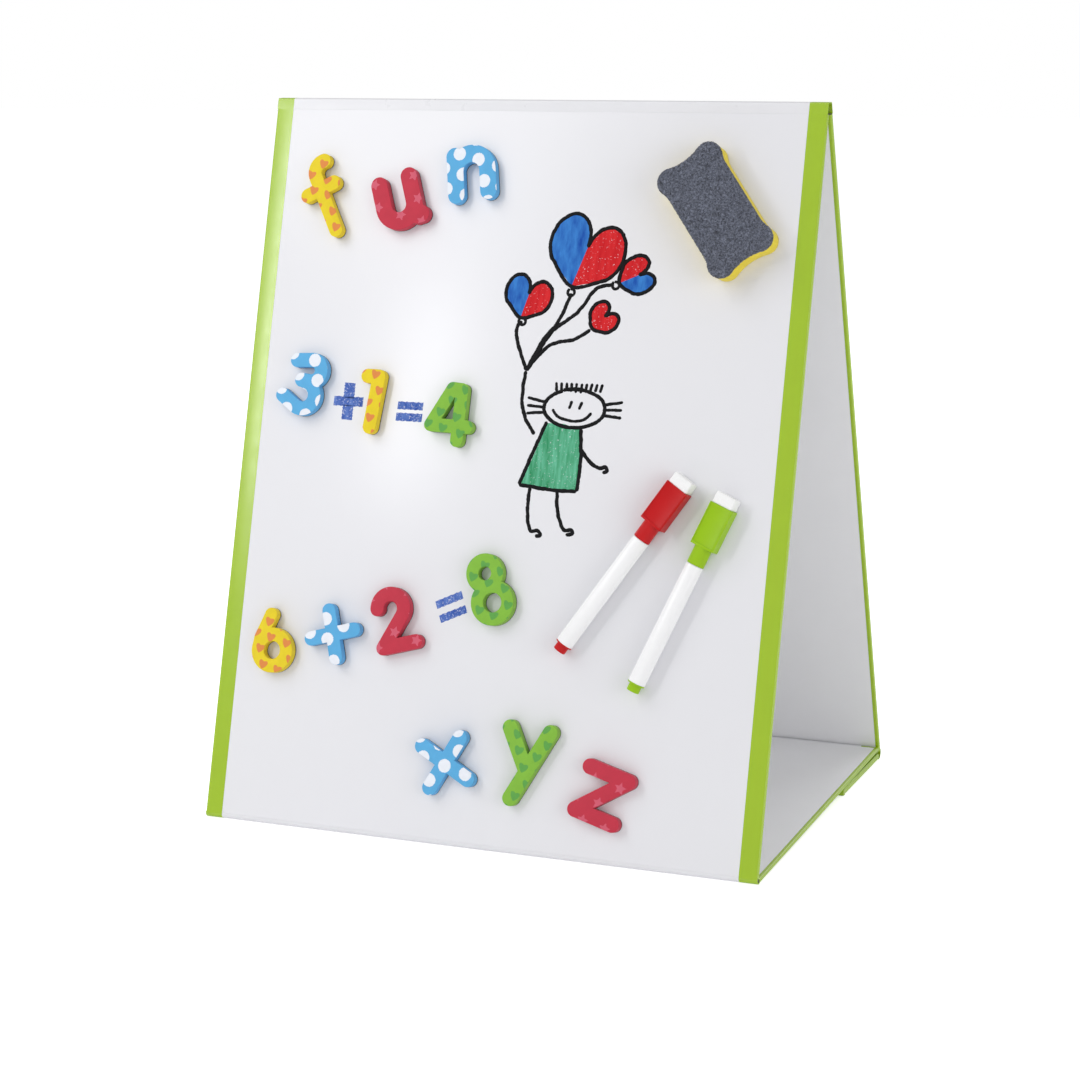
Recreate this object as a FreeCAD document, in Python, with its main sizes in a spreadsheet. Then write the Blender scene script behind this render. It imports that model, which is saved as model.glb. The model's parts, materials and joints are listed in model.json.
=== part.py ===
import FreeCAD, Part
import math
import os
import Sketcher

# Tabletop folding easel for a child: two leaning boards joined by a soft spine along the top,
# a base hinged to the front foot, a flap hinged to the rear foot and held under the base by
# magnets, and the foam characters, eraser and markers that cling to the front board.
# +Z is up, the front faces -Y, the origin is on the floor in the middle of the footprint. mm.

os.makedirs("parts", exist_ok=True)
doc = FreeCAD.newDocument("tabletop_easel")
V = FreeCAD.Vector
Placement = FreeCAD.Placement
Rotation = FreeCAD.Rotation

SIZES = [
    ("board_width", 317.0),
    ("board_height", 400.0),
    ("foot_depth", 234.0),
    ("spine_width", 6.0),
    ("board_thick", 3.2),
    ("base_thick", 2.4),
    ("flap_thick", 3.4),
    ("flap_reach", 78.5),
    ("band_width", 10.0),
    ("turn_in", 2.0),
    ("wrap_thick", 0.3),
    ("steel_thick", 0.4),
    ("strip_thick", 0.5),
    ("top_score", 6.0),
    ("front_foot_gap", 3.5),
    ("front_foot_bend", 2.4),
    ("rear_foot_gap", 5.5),
    ("rear_foot_bend", 3.5),
    ("spine_bend", 1.2),
    ("base_clear", 0.45),
    ("base_gap", 0.6),
    ("rest_gap", 0.05),
    ("keeper_length", 240.0),
    ("keeper_width", 26.0),
    ("keeper_thick", 0.5),
    ("latch_reach", 40.0),
    ("latch_spacing", 100.0),
    ("latch_diameter", 20.0),
    ("latch_thick", 2.0),
    ("character_height", 35.5),
    ("foam_thick", 4.4),
    ("magnet_sheet_thick", 0.7),
    ("eraser_lobe_across", 12.0),
    ("eraser_lobe_along", 26.1),
    ("eraser_lobe_radius", 7.0),
    ("eraser_waist", 17.3),
    ("eraser_end_notch", 31.0),
    ("eraser_neck_radius", 14.0),
    ("eraser_magnet_thick", 1.0),
    ("eraser_foam_thick", 9.0),
    ("eraser_felt_thick", 3.0),
    ("plug_diameter", 6.8),
    ("plug_flange_thick", 0.8),
    ("plug_length", 4.8),
    ("plug_shank_diameter", 7.0),
    ("plug_shank_length", 6.0),
    ("barrel_diameter", 9.4),
    ("barrel_length", 67.8),
    ("barrel_bore", 7.1),
    ("shoulder_diameter", 7.8),
    ("shoulder_length", 11.0),
    ("holder_diameter", 5.0),
    ("holder_length", 5.0),
    ("nib_diameter", 2.6),
    ("nib_length", 9.0),
    ("nib_out", 5.0),
    ("neck_length", 9.9),
    ("cap_bore", 8.4),
    ("cap_bore_depth", 25.0),
    ("cap_width", 13.5),
    ("cap_depth", 10.0),
    ("cap_length", 23.3),
    ("cap_edge_radius", 1.6),
    ("cap_gap", 0.2),
    ("pad_width", 11.8),
    ("pad_depth", 8.4),
    ("pad_length", 6.2),
    ("pad_edge_radius", 1.0),
]

# The lean of the boards follows from the distance of the feet, the spine and the board height.
# The base starts clear of the front board's lower inner edge. It tilts up onto the flap, and its
# length brings its upper rear edge just short of the back's inner face.
DERIVED = [
    ("sin_lean", "=(foot_depth - spine_width) / 2 / board_height"),
    ("cos_lean", "=sqrt(1 - sin_lean * sin_lean)"),
    ("base_setback", "=board_thick * cos_lean + front_foot_gap * sin_lean + base_clear"),
    ("tan_tilt", "=(flap_thick + rest_gap) / (foot_depth - flap_reach - base_setback)"),
    ("cos_tilt", "=1 / sqrt(1 + tan_tilt * tan_tilt)"),
    ("sin_tilt", "=tan_tilt * cos_tilt"),
    ("base_room", "=foot_depth - base_setback - base_gap - board_thick / cos_lean"),
    ("base_lost", "=base_thick * (cos_tilt * sin_lean / cos_lean - sin_tilt)"),
    ("base_slope", "=cos_tilt + sin_tilt * sin_lean / cos_lean"),
    ("base_length", "=(base_room - base_lost) / base_slope"),
]

sheet = doc.addObject("Spreadsheet::Sheet", "Sizes")
for row, (alias, value) in enumerate(SIZES + DERIVED, 1):
    sheet.set("A%d" % row, alias)
    sheet.set("B%d" % row, str(value))
    sheet.setAlias("B%d" % row, alias)
doc.recompute()


def size(alias):
    return float(sheet.get(alias))


def bind(obj, **expressions):
    """Bind properties of an object to the sheet; words are aliases of its cells."""
    for prop, text in expressions.items():
        words = text.replace("(", "( ").replace(")", " )").split(" ")
        known = [name for name, _ in SIZES + DERIVED]
        obj.setExpression(prop, " ".join("Sizes." + w if w in known else w for w in words))


# ---------------------------------------------------------------- frames of the four panels
# In a panel's own frame x runs across, y goes inwards from the outer face, z along the panel.
half_depth = size("foot_depth") / 2
lean = math.degrees(math.asin(size("sin_lean")))
lean_rotation = Rotation(V(1, 0, 0), -lean)
front_frame = Placement(V(0, -half_depth, 0), lean_rotation)
back_frame = Placement(V(0, half_depth, 0), Rotation(V(0, 0, 1), 180).multiply(lean_rotation))
flap_frame = Placement(V(0, half_depth, 0), Rotation(V(1, 0, 0), 90))

# The base stands on the floor just behind the front foot and lies on the flap's front edge.
base_start = size("base_setback") - half_depth
base_tilt = math.degrees(math.atan(size("tan_tilt")))
base_turn = Rotation(V(1, 0, 0), base_tilt).multiply(Rotation(V(0, 1, 1), 180))
base_frame = Placement(V(0, base_start, 0), base_turn)


# ---------------------------------------------------------------- building helpers
parts = []


def keep(obj, label, placement=None):
    """Name a finished sub-part, place it and list it for export."""
    obj.Label = label
    if placement is not None:
        obj.Placement = placement
    parts.append(obj)
    return obj


def box(name, across, thick, along, corner):
    """A block bound to the sheet, with its corner at a point of the panel's own frame."""
    block = doc.addObject("Part::Box", name)
    bind(block, Length=across, Width=thick, Height=along)
    block.Placement = Placement(V(*corner), Rotation())
    return block


def cylinder(name, diameter, height, corner=(0, 0, 0), rotation=None):
    """A round bar bound to the sheet, standing on a point."""
    bar = doc.addObject("Part::Cylinder", name)
    bind(bar, Radius=diameter + " / 2", Height=height)
    bar.Placement = Placement(V(*corner), rotation or Rotation())
    return bar


def cut(name, base, tool):
    result = doc.addObject("Part::Cut", name)
    result.Base = base
    result.Tool = tool
    return result


def fuse(name, shapes):
    result = doc.addObject("Part::MultiFuse", name)
    result.Shapes = shapes
    return result


def compound(name, shapes):
    result = doc.addObject("Part::Compound", name)
    result.Links = shapes
    return result


def rounded(name, source, radius, along=None):
    """Fillet the edges of a block that run along one axis, or all of them."""
    doc.recompute()
    result = doc.addObject("Part::Fillet", name)
    result.Base = source
    chosen = []
    for number, edge in enumerate(source.Shape.Edges, 1):
        way = edge.tangentAt(edge.FirstParameter)
        if along is None or abs(way.dot(along)) > 0.99:
            chosen.append((number, size(radius), size(radius)))
    result.Edges = chosen
    return result


def layer(label, frame, across, thick, along, y_from, z_from):
    """A flat sheet of a panel, centred across it, in the panel's frame."""
    sheet_box = box(label, across, thick, along, (0, 0, 0))
    doc.recompute()
    offset = Placement(V(-sheet_box.Length.Value / 2, y_from, z_from), Rotation())
    return keep(sheet_box, label, frame.multiply(offset))


def side_bindings(label, frame, thick, along, inner_leg, z_from):
    """Folded strips round both side edges: outer band, edge and turned-in leg."""
    start = size("board_width") / 2 - size("band_width")
    wrap = size("wrap_thick")
    block = box(label + "_block", "band_width", thick, along, (start, 0, z_from))
    hollow = box(label + "_hollow", "band_width - wrap_thick", thick + " - 2 * wrap_thick",
                 along, (start, wrap, z_from))
    right = cut(label + "_folded", block, hollow)
    if inner_leg != "band_width":
        doc.recompute()
        leg_level = block.Width.Value - wrap
        spare = box(label + "_spare", "band_width - " + inner_leg, "wrap_thick", along,
                    (start, leg_level, z_from))
        right = cut(label + "_right", right, spare)
    left = doc.addObject("Part::Mirroring", label + "_left")
    left.Source = right
    left.Normal = (1, 0, 0)
    return keep(compound(label, [right, left]), label, frame)


# ---------------------------------------------------------------- the two leaning boards
front_along = "board_height - top_score - front_foot_gap"
back_along = "board_height - top_score - rear_foot_gap"
between_bands = "board_width - 2 * band_width"
between_folds = "board_width - 2 * wrap_thick"
between_turns = "board_width - 2 * turn_in"
wrap_thick = size("wrap_thick")
steel_thick = size("steel_thick")
liner_level = size("board_thick") - wrap_thick
front_gap = size("front_foot_gap")
rear_gap = size("rear_foot_gap")

layer("front_writing_film", front_frame, between_bands, "wrap_thick", front_along, 0, front_gap)
layer("front_steel_sheet", front_frame, between_folds, "steel_thick", front_along,
      wrap_thick, front_gap)
layer("front_core", front_frame, between_folds, "board_thick - 2 * wrap_thick - steel_thick",
      front_along, wrap_thick + steel_thick, front_gap)
layer("front_liner", front_frame, between_turns, "wrap_thick", front_along, liner_level,
      front_gap)
side_bindings("front_side_bindings", front_frame, "board_thick", front_along, "turn_in",
              front_gap)

layer("back_outer_film", back_frame, between_bands, "wrap_thick", back_along, 0, rear_gap)
layer("back_core", back_frame, between_folds, "board_thick - 2 * wrap_thick", back_along,
      wrap_thick, rear_gap)
layer("back_liner", back_frame, between_turns, "wrap_thick", back_along, liner_level, rear_gap)
side_bindings("back_side_bindings", back_frame, "board_thick", back_along, "turn_in", rear_gap)

# ---------------------------------------------------------------- base panel
latch_line = (half_depth - size("latch_reach") - base_start) / size("cos_tilt")

layer("base_bottom_wrap", base_frame, between_bands, "wrap_thick", "base_length", 0, 0)
layer("base_liner", base_frame, between_turns, "wrap_thick", "base_length",
      size("base_thick") - wrap_thick, 0)
side_bindings("base_side_bindings", base_frame, "base_thick", "base_length", "turn_in", 0)

keeper_from = latch_line - size("keeper_width") / 2
layer("base_steel_keeper", base_frame, "keeper_length", "keeper_thick", "keeper_width",
      wrap_thick, keeper_from)
base_slab = box("base_slab", between_folds, "base_thick - 2 * wrap_thick", "base_length",
                (-size("board_width") / 2 + wrap_thick, wrap_thick, 0))
keeper_pocket = box("keeper_pocket", "keeper_length", "keeper_thick", "keeper_width",
                    (-size("keeper_length") / 2, wrap_thick, keeper_from))
keep(cut("base_core", base_slab, keeper_pocket), "base_core", base_frame)

# ---------------------------------------------------------------- flap panel
flap_along = "flap_reach - rear_foot_gap"
flap_core_along = "flap_reach - rear_foot_gap - wrap_thick"
band_start = -size("board_width") / 2 + size("band_width")
wrap_block = box("flap_wrap_block", between_bands, "flap_thick", flap_along,
                 (band_start, 0, rear_gap))
wrap_hollow = box("flap_wrap_hollow", between_bands, "flap_thick - 2 * wrap_thick",
                  flap_core_along, (band_start, wrap_thick, rear_gap))
keep(cut("flap_wrap", wrap_block, wrap_hollow), "flap_wrap", flap_frame)
side_bindings("flap_side_bindings", flap_frame, "flap_thick", flap_along, "band_width",
              rear_gap)

into_flap = Rotation(V(1, 0, 0), 90)
latch_top = size("flap_thick") - wrap_thick


def latch_discs(name):
    """Round magnets let into the flap's core from above, in a row across it."""
    discs = []
    for number in range(3):
        across = (number - 1) * size("latch_spacing")
        spot = (across, latch_top, size("latch_reach"))
        discs.append(cylinder("%s_%d" % (name, number + 1), "latch_diameter", "latch_thick",
                              spot, into_flap))
    return discs


flap_slab = box("flap_slab", between_folds, "flap_thick - 2 * wrap_thick", flap_core_along,
                (-size("board_width") / 2 + wrap_thick, wrap_thick, rear_gap))
latch_pockets = fuse("latch_pockets", latch_discs("latch_pocket"))
keep(cut("flap_core", flap_slab, latch_pockets), "flap_core", flap_frame)
keep(compound("flap_magnets", latch_discs("latch_disc")), "flap_magnets", flap_frame)


# ---------------------------------------------------------------- soft hinge strips
def front_point(inward, along):
    """Expressions for a point of the front board, seen from the side."""
    y = "( %s ) * cos_lean + ( %s ) * sin_lean - foot_depth / 2" % (inward, along)
    z = "( %s ) * cos_lean - ( %s ) * sin_lean" % (along, inward)
    return y, z


def back_point(inward, along):
    y, z = front_point(inward, along)
    return "0 - ( %s )" % y, z


def strip(label, corners, bends):
    """A film drawn from the side as a folded outline, padded across and rounded at its bends."""
    body = doc.addObject("PartDesign::Body", label)
    side = [plane for plane in body.Origin.OriginFeatures if plane.Role == "YZ_Plane"][0]
    sketch = body.newObject("Sketcher::SketchObject", label + "_outline")
    sketch.AttachmentSupport = [(side, "")]
    sketch.MapMode = "FlatFace"
    count = len(corners)
    turn = 2 * math.pi / count
    rough = [V(math.cos(i * turn), math.sin(i * turn), 0) for i in range(count)]
    for i in range(count):
        sketch.addGeometry(Part.LineSegment(rough[i], rough[(i + 1) % count]), False)
    for i in range(count):
        sketch.addConstraint(Sketcher.Constraint("Coincident", i, 2, (i + 1) % count, 1))
    for i, corner in enumerate(corners):
        for kind, spot, text in (("DistanceX", rough[i].x, corner[0]),
                                 ("DistanceY", rough[i].y, corner[1])):
            number = sketch.addConstraint(Sketcher.Constraint(kind, -1, 1, i, 1, spot))
            tag = "%s_%d" % (kind, i)
            sketch.renameConstraint(number, tag)
            bind(sketch, **{"Constraints." + tag: text})
    pad = body.newObject("PartDesign::Pad", label + "_film")
    pad.Profile = sketch
    pad.Midplane = True
    bind(pad, Length="board_width")
    doc.recompute()
    source = pad
    for i, radius in bends:
        spot = sketch.Geometry[i].StartPoint
        names = []
        for number, edge in enumerate(source.Shape.Edges, 1):
            middle = edge.BoundBox.Center
            if abs(middle.y - spot.x) < 0.01 and abs(middle.z - spot.y) < 0.01:
                names.append("Edge%d" % number)
        bend = body.newObject("PartDesign::Fillet", "%s_bend_%d" % (label, i))
        bend.Base = (source, names)
        bind(bend, Radius=radius)
        doc.recompute()
        source = bend
    return keep(body, label)


inner_corner = "strip_thick * ( 1 + sin_lean ) / cos_lean"
spine_inside = "spine_width / 2 - strip_thick * ( 1 - sin_lean ) / cos_lean"
spine_level = "board_height * cos_lean - strip_thick"
score_level = "board_height - top_score"

strip("top_spine_strip", [
    front_point("0", score_level),
    front_point("0", "board_height"),
    back_point("0", "board_height"),
    back_point("0", score_level),
    back_point("strip_thick", score_level),
    (spine_inside, spine_level),
    ("0 - ( %s )" % spine_inside, spine_level),
    front_point("strip_thick", score_level),
], [(1, "spine_bend"), (2, "spine_bend"),
    (5, "spine_bend - strip_thick"), (6, "spine_bend - strip_thick")])

front_strip_end = "base_setback - foot_depth / 2 - rest_gap"
strip("front_foot_strip", [
    front_point("0", "front_foot_gap"),
    ("0 - foot_depth / 2", "0"),
    (front_strip_end, "0"),
    (front_strip_end, "strip_thick"),
    ("%s - foot_depth / 2" % inner_corner, "strip_thick"),
    front_point("strip_thick", "front_foot_gap"),
], [(1, "front_foot_bend"), (4, "front_foot_bend - strip_thick")])

rear_strip_end = "foot_depth / 2 - rear_foot_gap"
strip("rear_foot_strip", [
    back_point("0", "rear_foot_gap"),
    ("foot_depth / 2", "0"),
    (rear_strip_end, "0"),
    (rear_strip_end, "strip_thick"),
    ("foot_depth / 2 - %s" % inner_corner, "strip_thick"),
    back_point("strip_thick", "rear_foot_gap"),
], [(1, "rear_foot_bend"), (4, "rear_foot_bend - strip_thick")])


# ---------------------------------------------------------------- outlines drawn with a round pen
def arc(first, middle, last):
    return Part.Arc(first, middle, last).toShape()


def bar(x1, y1, x2, y2, half):
    """A straight stroke with round ends."""
    start = V(x1, y1, 0)
    end = V(x2, y2, 0)
    way = (end - start).normalize()
    side = V(way.y, -way.x, 0) * half
    tip = way * half
    return Part.Face(Part.Wire([
        Part.makeLine(start + side, end + side),
        arc(end + side, end + tip, end - side),
        Part.makeLine(end - side, start - side),
        arc(start - side, start - tip, start + side)]))


def bow(x, y, radius, from_angle, to_angle, half):
    """A curved stroke with round ends, turning anticlockwise from one angle to the other."""
    def spot(angle, reach):
        turn = math.radians(angle)
        return V(x + reach * math.cos(turn), y + reach * math.sin(turn), 0)

    def tip(angle, sense):
        turn = math.radians(angle)
        return spot(angle, radius) + V(-math.sin(turn), math.cos(turn), 0) * half * sense

    middle = (from_angle + to_angle) / 2
    return Part.Face(Part.Wire([
        arc(spot(from_angle, radius + half), spot(middle, radius + half),
            spot(to_angle, radius + half)),
        arc(spot(to_angle, radius + half), tip(to_angle, 1), spot(to_angle, radius - half)),
        arc(spot(to_angle, radius - half), spot(middle, radius - half),
            spot(from_angle, radius - half)),
        arc(spot(from_angle, radius - half), tip(from_angle, -1),
            spot(from_angle, radius + half))]))


def ring(x, y, radius, half):
    """A stroke that closes on itself."""
    centre = V(x, y, 0)
    outer = Part.Face(Part.Wire(Part.makeCircle(radius + half, centre)))
    inner = Part.Face(Part.Wire(Part.makeCircle(radius - half, centre)))
    return outer.cut(inner).Faces[0]


STROKE_MAKERS = {"bar": bar, "bow": bow, "ring": ring}

# Each character: place on the board from its lower left corner, turn, half width of the pen,
# and its strokes about its own middle, for characters of the reference height.
REFERENCE_WIDTH = 317.0
REFERENCE_HEIGHT = 400.0
REFERENCE_CHARACTER = 35.5
CHARACTERS = [
    ("letter_f", 36.8, 343.7, 28.2, 4.0, [
        ("bar", 0, -19.6, 0, 12.9),
        ("bow", 6.4, 12.9, 6.4, 77, 180),
        ("bar", -8.3, 5.5, 8.6, 5.3)]),
    ("letter_u", 82.8, 343.6, 19.0, 4.8, [
        ("bar", -9.9, 11.2, -9.9, -2.4),
        ("bow", -0.9, -2.4, 9.0, 180, 360),
        ("bar", 8.1, 11.2, 8.1, -11.2),
        ("bar", 8.1, -11.2, 10.6, -11.2)]),
    ("letter_n", 123.3, 359.1, 9.0, 4.8, [
        ("bar", -8.9, 10.2, -8.9, -10.9),
        ("bow", 0.45, 1.2, 9.35, 0, 180),
        ("bar", 9.8, 1.2, 9.8, -10.8)]),
    ("digit_3", 34.8, 241.3, -15.0, 3.9, [
        ("bar", 2.2, 14.0, -7.2, 11.0),
        ("bow", 3.2, 8.2, 5.9, -90, 100),
        ("bar", 3.2, 2.3, -0.8, 1.6),
        ("bow", 2.8, -6.2, 7.2, -110, 90),
        ("bar", 0.3, -13.0, -8.9, -9.6)]),
    ("digit_1", 78.2, 233.6, -6.0, 3.9, [
        ("bar", 1.4, -13.9, 1.4, 13.6),
        ("bar", 1.4, 13.6, -5.2, 13.0)]),
    ("digit_4", 124.3, 229.1, -1.0, 3.6, [
        ("bar", 0.8, 13.5, -10.0, -6.5),
        ("bar", -10.0, -6.5, 11.2, -6.5),
        ("bar", 6.2, 13.2, 6.2, -13.9),
        ("bar", 0.8, 13.5, 6.2, 13.2)]),
    ("digit_6", 33.0, 100.1, 0.0, 3.7, [
        ("ring", 0, -5.4, 8.6),
        ("bar", -8.4, -4.4, -7.8, 0.6),
        ("bar", -7.8, 0.6, -2.6, 13.8)]),
    ("sign_plus", 68.5, 106.4, 15.5, 3.9, [
        ("bar", -12.9, 0, 12.9, 0),
        ("bar", 0, -12.9, 0, 12.9)]),
    ("digit_2", 105.1, 116.8, 15.7, 3.9, [
        ("bow", -2.0, 6.85, 7.8, -42, 171),
        ("bar", 3.8, 1.63, -9.7, -13.3),
        ("bar", -9.7, -13.3, 9.6, -13.3)]),
    ("digit_8", 157.0, 138.2, 21.3, 3.5, [
        ("ring", 0, 8.05, 7.1),
        ("ring", 0, -8.05, 8.7)]),
    ("letter_x", 141.6, 44.4, 17.0, 4.1, [
        ("bar", -11.1, -11.1, 11.1, 11.1),
        ("bar", -11.1, 11.1, 11.1, -11.1)]),
    ("letter_y", 187.8, 48.5, 0.0, 4.2, [
        ("bar", -10.8, 18.0, 0.4, -4.2),
        ("bar", 11.9, 17.2, -7.3, -18.6)]),
    ("letter_z", 231.1, 36.5, -15.5, 4.1, [
        ("bar", -11.2, 11.8, 11.2, 11.8),
        ("bar", 11.2, 11.8, -11.2, -11.8),
        ("bar", -11.2, -11.8, 10.6, -11.8)]),
]


def on_board(across, up, height, turn):
    """Placement of a piece lying on the front board, its own z pointing away from it."""
    spot = V(across * size("board_width") / REFERENCE_WIDTH - size("board_width") / 2,
             -height, up * size("board_height") / REFERENCE_HEIGHT)
    facing = Rotation(V(1, 0, 0), 90).multiply(Rotation(V(0, 0, 1), turn))
    return front_frame.multiply(Placement(spot, facing))


def profile(name, face, placement):
    """A flat outline whose shape is worked out from the sheet."""
    outline = doc.addObject("Part::Feature", name)
    outline.Shape = face
    outline.Placement = placement
    return outline


def slab_of(label, outline, thick, towards_board=False):
    """A sheet die-cut to an outline, as thick as its cell says."""
    slab = doc.addObject("Part::Extrusion", label)
    slab.Base = outline
    slab.DirMode = "Custom"
    slab.Dir = outline.Placement.Rotation.multVec(V(0, 0, 1))
    slab.Solid = True
    slab.Reversed = towards_board
    bind(slab, LengthFwd=thick)
    return keep(slab, label)


pen_scale = size("character_height") / REFERENCE_CHARACTER
for label, across, up, turn, half, strokes in CHARACTERS:
    faces = []
    for stroke in strokes:
        numbers = [n * pen_scale for n in stroke[1:]]
        if stroke[0] == "bow":
            numbers[3:] = stroke[4:]
        faces.append(STROKE_MAKERS[stroke[0]](*numbers, half * pen_scale))
    joined = faces[0].fuse(faces[1:]).removeSplitter()
    if len(joined.Faces) != 1:
        raise RuntimeError("%s is %d outlines" % (label, len(joined.Faces)))
    outline_face = joined.Faces[0]
    outline = profile(label + "_outline", outline_face,
                      on_board(across, up, size("magnet_sheet_thick"), turn))
    slab_of(label + "_foam", outline, "foam_thick")
    slab_of(label + "_magnet", outline, "magnet_sheet_thick", towards_board=True)


# ---------------------------------------------------------------- bone-shaped board eraser
def bone_face():
    """Four round lobes joined by hollow curves and straight sides."""
    across = size("eraser_lobe_across")
    along = size("eraser_lobe_along")
    lobe = size("eraser_lobe_radius")
    neck = size("eraser_neck_radius")
    waist = size("eraser_waist")
    notch = size("eraser_end_notch")
    neck_x = waist + neck
    neck_y = along - math.sqrt((lobe + neck) ** 2 - (neck_x - across) ** 2)
    rise = notch - along
    end_radius = (across ** 2 + rise ** 2 - lobe ** 2) / (2 * (lobe - rise))
    end_y = notch + end_radius
    share = lobe / (lobe + neck)
    side_touch = V(across + (neck_x - across) * share, along + (neck_y - along) * share, 0)
    share = lobe / (lobe + end_radius)
    end_touch = V(across - across * share, along + (end_y - along) * share, 0)
    centre = V(across, along, 0)
    lobe_way = (side_touch - centre) + (end_touch - centre)
    lobe_top = centre + lobe_way.normalize() * lobe
    neck_centre = V(neck_x, neck_y, 0)
    waist_touch = V(waist, neck_y, 0)
    neck_way = (side_touch - neck_centre) + (waist_touch - neck_centre)
    neck_middle = neck_centre + neck_way.normalize() * neck

    def flip(point, x_sign, y_sign):
        return V(point.x * x_sign, point.y * y_sign, 0)

    edges = []
    for y_sign in (1, -1):
        for x_sign in (1, -1):
            edges.append(arc(flip(side_touch, x_sign, y_sign), flip(lobe_top, x_sign, y_sign),
                             flip(end_touch, x_sign, y_sign)))
            edges.append(arc(flip(waist_touch, x_sign, y_sign),
                             flip(neck_middle, x_sign, y_sign),
                             flip(side_touch, x_sign, y_sign)))
        edges.append(arc(flip(end_touch, 1, y_sign), V(0, notch * y_sign, 0),
                         flip(end_touch, -1, y_sign)))
    for x_sign in (1, -1):
        edges.append(Part.makeLine(flip(waist_touch, x_sign, 1), flip(waist_touch, x_sign, -1)))
    return Part.Face(Part.Wire(Part.sortEdges(edges)[0]))


eraser_place = (265.2, 341.0)
eraser_turn = 36.8
foam_level = size("eraser_magnet_thick")
felt_level = foam_level + size("eraser_foam_thick")
eraser_back = profile("eraser_back_outline", bone_face(),
                      on_board(*eraser_place, foam_level, eraser_turn))
eraser_front = profile("eraser_front_outline", bone_face(),
                       on_board(*eraser_place, felt_level, eraser_turn))
slab_of("eraser_magnet", eraser_back, "eraser_magnet_thick", towards_board=True)
slab_of("eraser_foam", eraser_back, "eraser_foam_thick")
slab_of("eraser_felt", eraser_front, "eraser_felt_thick")


# ---------------------------------------------------------------- markers
# Along a marker's own z: end plug, barrel, then the cap's neck and block, and the eraser pad.
barrel_from = size("plug_length")
shoulder_from = barrel_from + size("barrel_length")
holder_from = shoulder_from + size("shoulder_length")
holder_end = holder_from + size("holder_length")
nib_from = holder_end + size("nib_out") - size("nib_length")
block_from = shoulder_from + size("neck_length")
pad_from = block_from + size("cap_length")
cap_from = shoulder_from + size("cap_gap")
MARKERS = [("red_marker", 200.3, 108.7, 33.0), ("green_marker", 242.8, 91.4, 22.2)]


def block_on_axis(name, across, thick, along, z_from, radius):
    """A block centred on the marker's axis with its long edges rounded."""
    block = box(name + "_block", across, thick, along, (0, 0, 0))
    doc.recompute()
    block.Placement = Placement(V(-block.Length.Value / 2, -block.Width.Value / 2, z_from),
                                Rotation())
    return rounded(name + "_rounded", block, radius, V(0, 0, 1))


for name, across, up, turn in MARKERS:
    spot = V(across * size("board_width") / REFERENCE_WIDTH - size("board_width") / 2,
             -size("cap_depth") / 2, up * size("board_height") / REFERENCE_HEIGHT)
    marker_frame = front_frame.multiply(Placement(spot, Rotation(V(0, 1, 0), turn)))

    plug_head = cylinder(name + "_plug_head", "plug_diameter", "plug_length")
    plug_flange = cylinder(name + "_plug_flange", "barrel_diameter", "plug_flange_thick",
                           (0, 0, barrel_from - size("plug_flange_thick")))
    plug_shank = cylinder(name + "_plug_shank", "plug_shank_diameter", "plug_shank_length",
                          (0, 0, barrel_from))
    keep(fuse(name + "_plug", [plug_head, plug_flange, plug_shank]), name + "_plug",
         marker_frame)

    tube = cylinder(name + "_tube", "barrel_diameter", "barrel_length", (0, 0, barrel_from))
    shoulder = cylinder(name + "_shoulder", "shoulder_diameter", "shoulder_length",
                        (0, 0, shoulder_from))
    holder = cylinder(name + "_holder", "holder_diameter", "holder_length",
                      (0, 0, holder_from))
    bore = cylinder(name + "_bore", "barrel_bore", "barrel_length - shoulder_length",
                    (0, 0, barrel_from))
    nib_hole = cylinder(name + "_nib_hole", "nib_diameter", "nib_length", (0, 0, nib_from))
    outside = fuse(name + "_outside", [tube, shoulder, holder])
    inside = compound(name + "_inside", [bore, nib_hole])
    keep(cut(name + "_barrel", outside, inside), name + "_barrel", marker_frame)

    nib_bar = cylinder(name + "_nib_bar", "nib_diameter", "nib_length - nib_diameter / 2",
                       (0, 0, nib_from))
    nib_tip = doc.addObject("Part::Sphere", name + "_nib_tip")
    bind(nib_tip, Radius="nib_diameter / 2")
    tip_level = nib_from + size("nib_length") - size("nib_diameter") / 2
    nib_tip.Placement = Placement(V(0, 0, tip_level), Rotation())
    keep(fuse(name + "_nib", [nib_bar, nib_tip]), name + "_nib", marker_frame)

    neck = cylinder(name + "_neck", "barrel_diameter", "neck_length - cap_gap",
                    (0, 0, cap_from))
    cap_block = block_on_axis(name + "_cap", "cap_width", "cap_depth", "cap_length",
                              block_from, "cap_edge_radius")
    cap_bore = cylinder(name + "_cap_bore", "cap_bore", "cap_bore_depth", (0, 0, cap_from))
    cap_body = fuse(name + "_cap_body", [neck, cap_block])
    keep(cut(name + "_cap", cap_body, cap_bore), name + "_cap", marker_frame)

    pad = block_on_axis(name + "_pad", "pad_width", "pad_depth", "pad_length", pad_from,
                        "pad_edge_radius")
    keep(pad, name + "_pad", marker_frame)

# ---------------------------------------------------------------- check and export
doc.recompute()
for obj in doc.Objects:
    wrong = [state for state in obj.State if state in ("Invalid", "Error")]
    if wrong:
        raise RuntimeError("%s is %s" % (obj.Label, wrong))
for part in parts:
    if part.Shape.isNull() or not part.Shape.isValid():
        raise RuntimeError("%s has no valid shape" % part.Label)
    if not part.Shape.Solids:
        raise RuntimeError("%s is not solid" % part.Label)
for part in parts:
    part.Shape.exportStep("parts/%s.step" % part.Label)
print("%d sub-parts written" % len(parts))
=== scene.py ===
import json
import math

import bmesh
import bpy
from mathutils import Matrix, Vector


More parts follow.
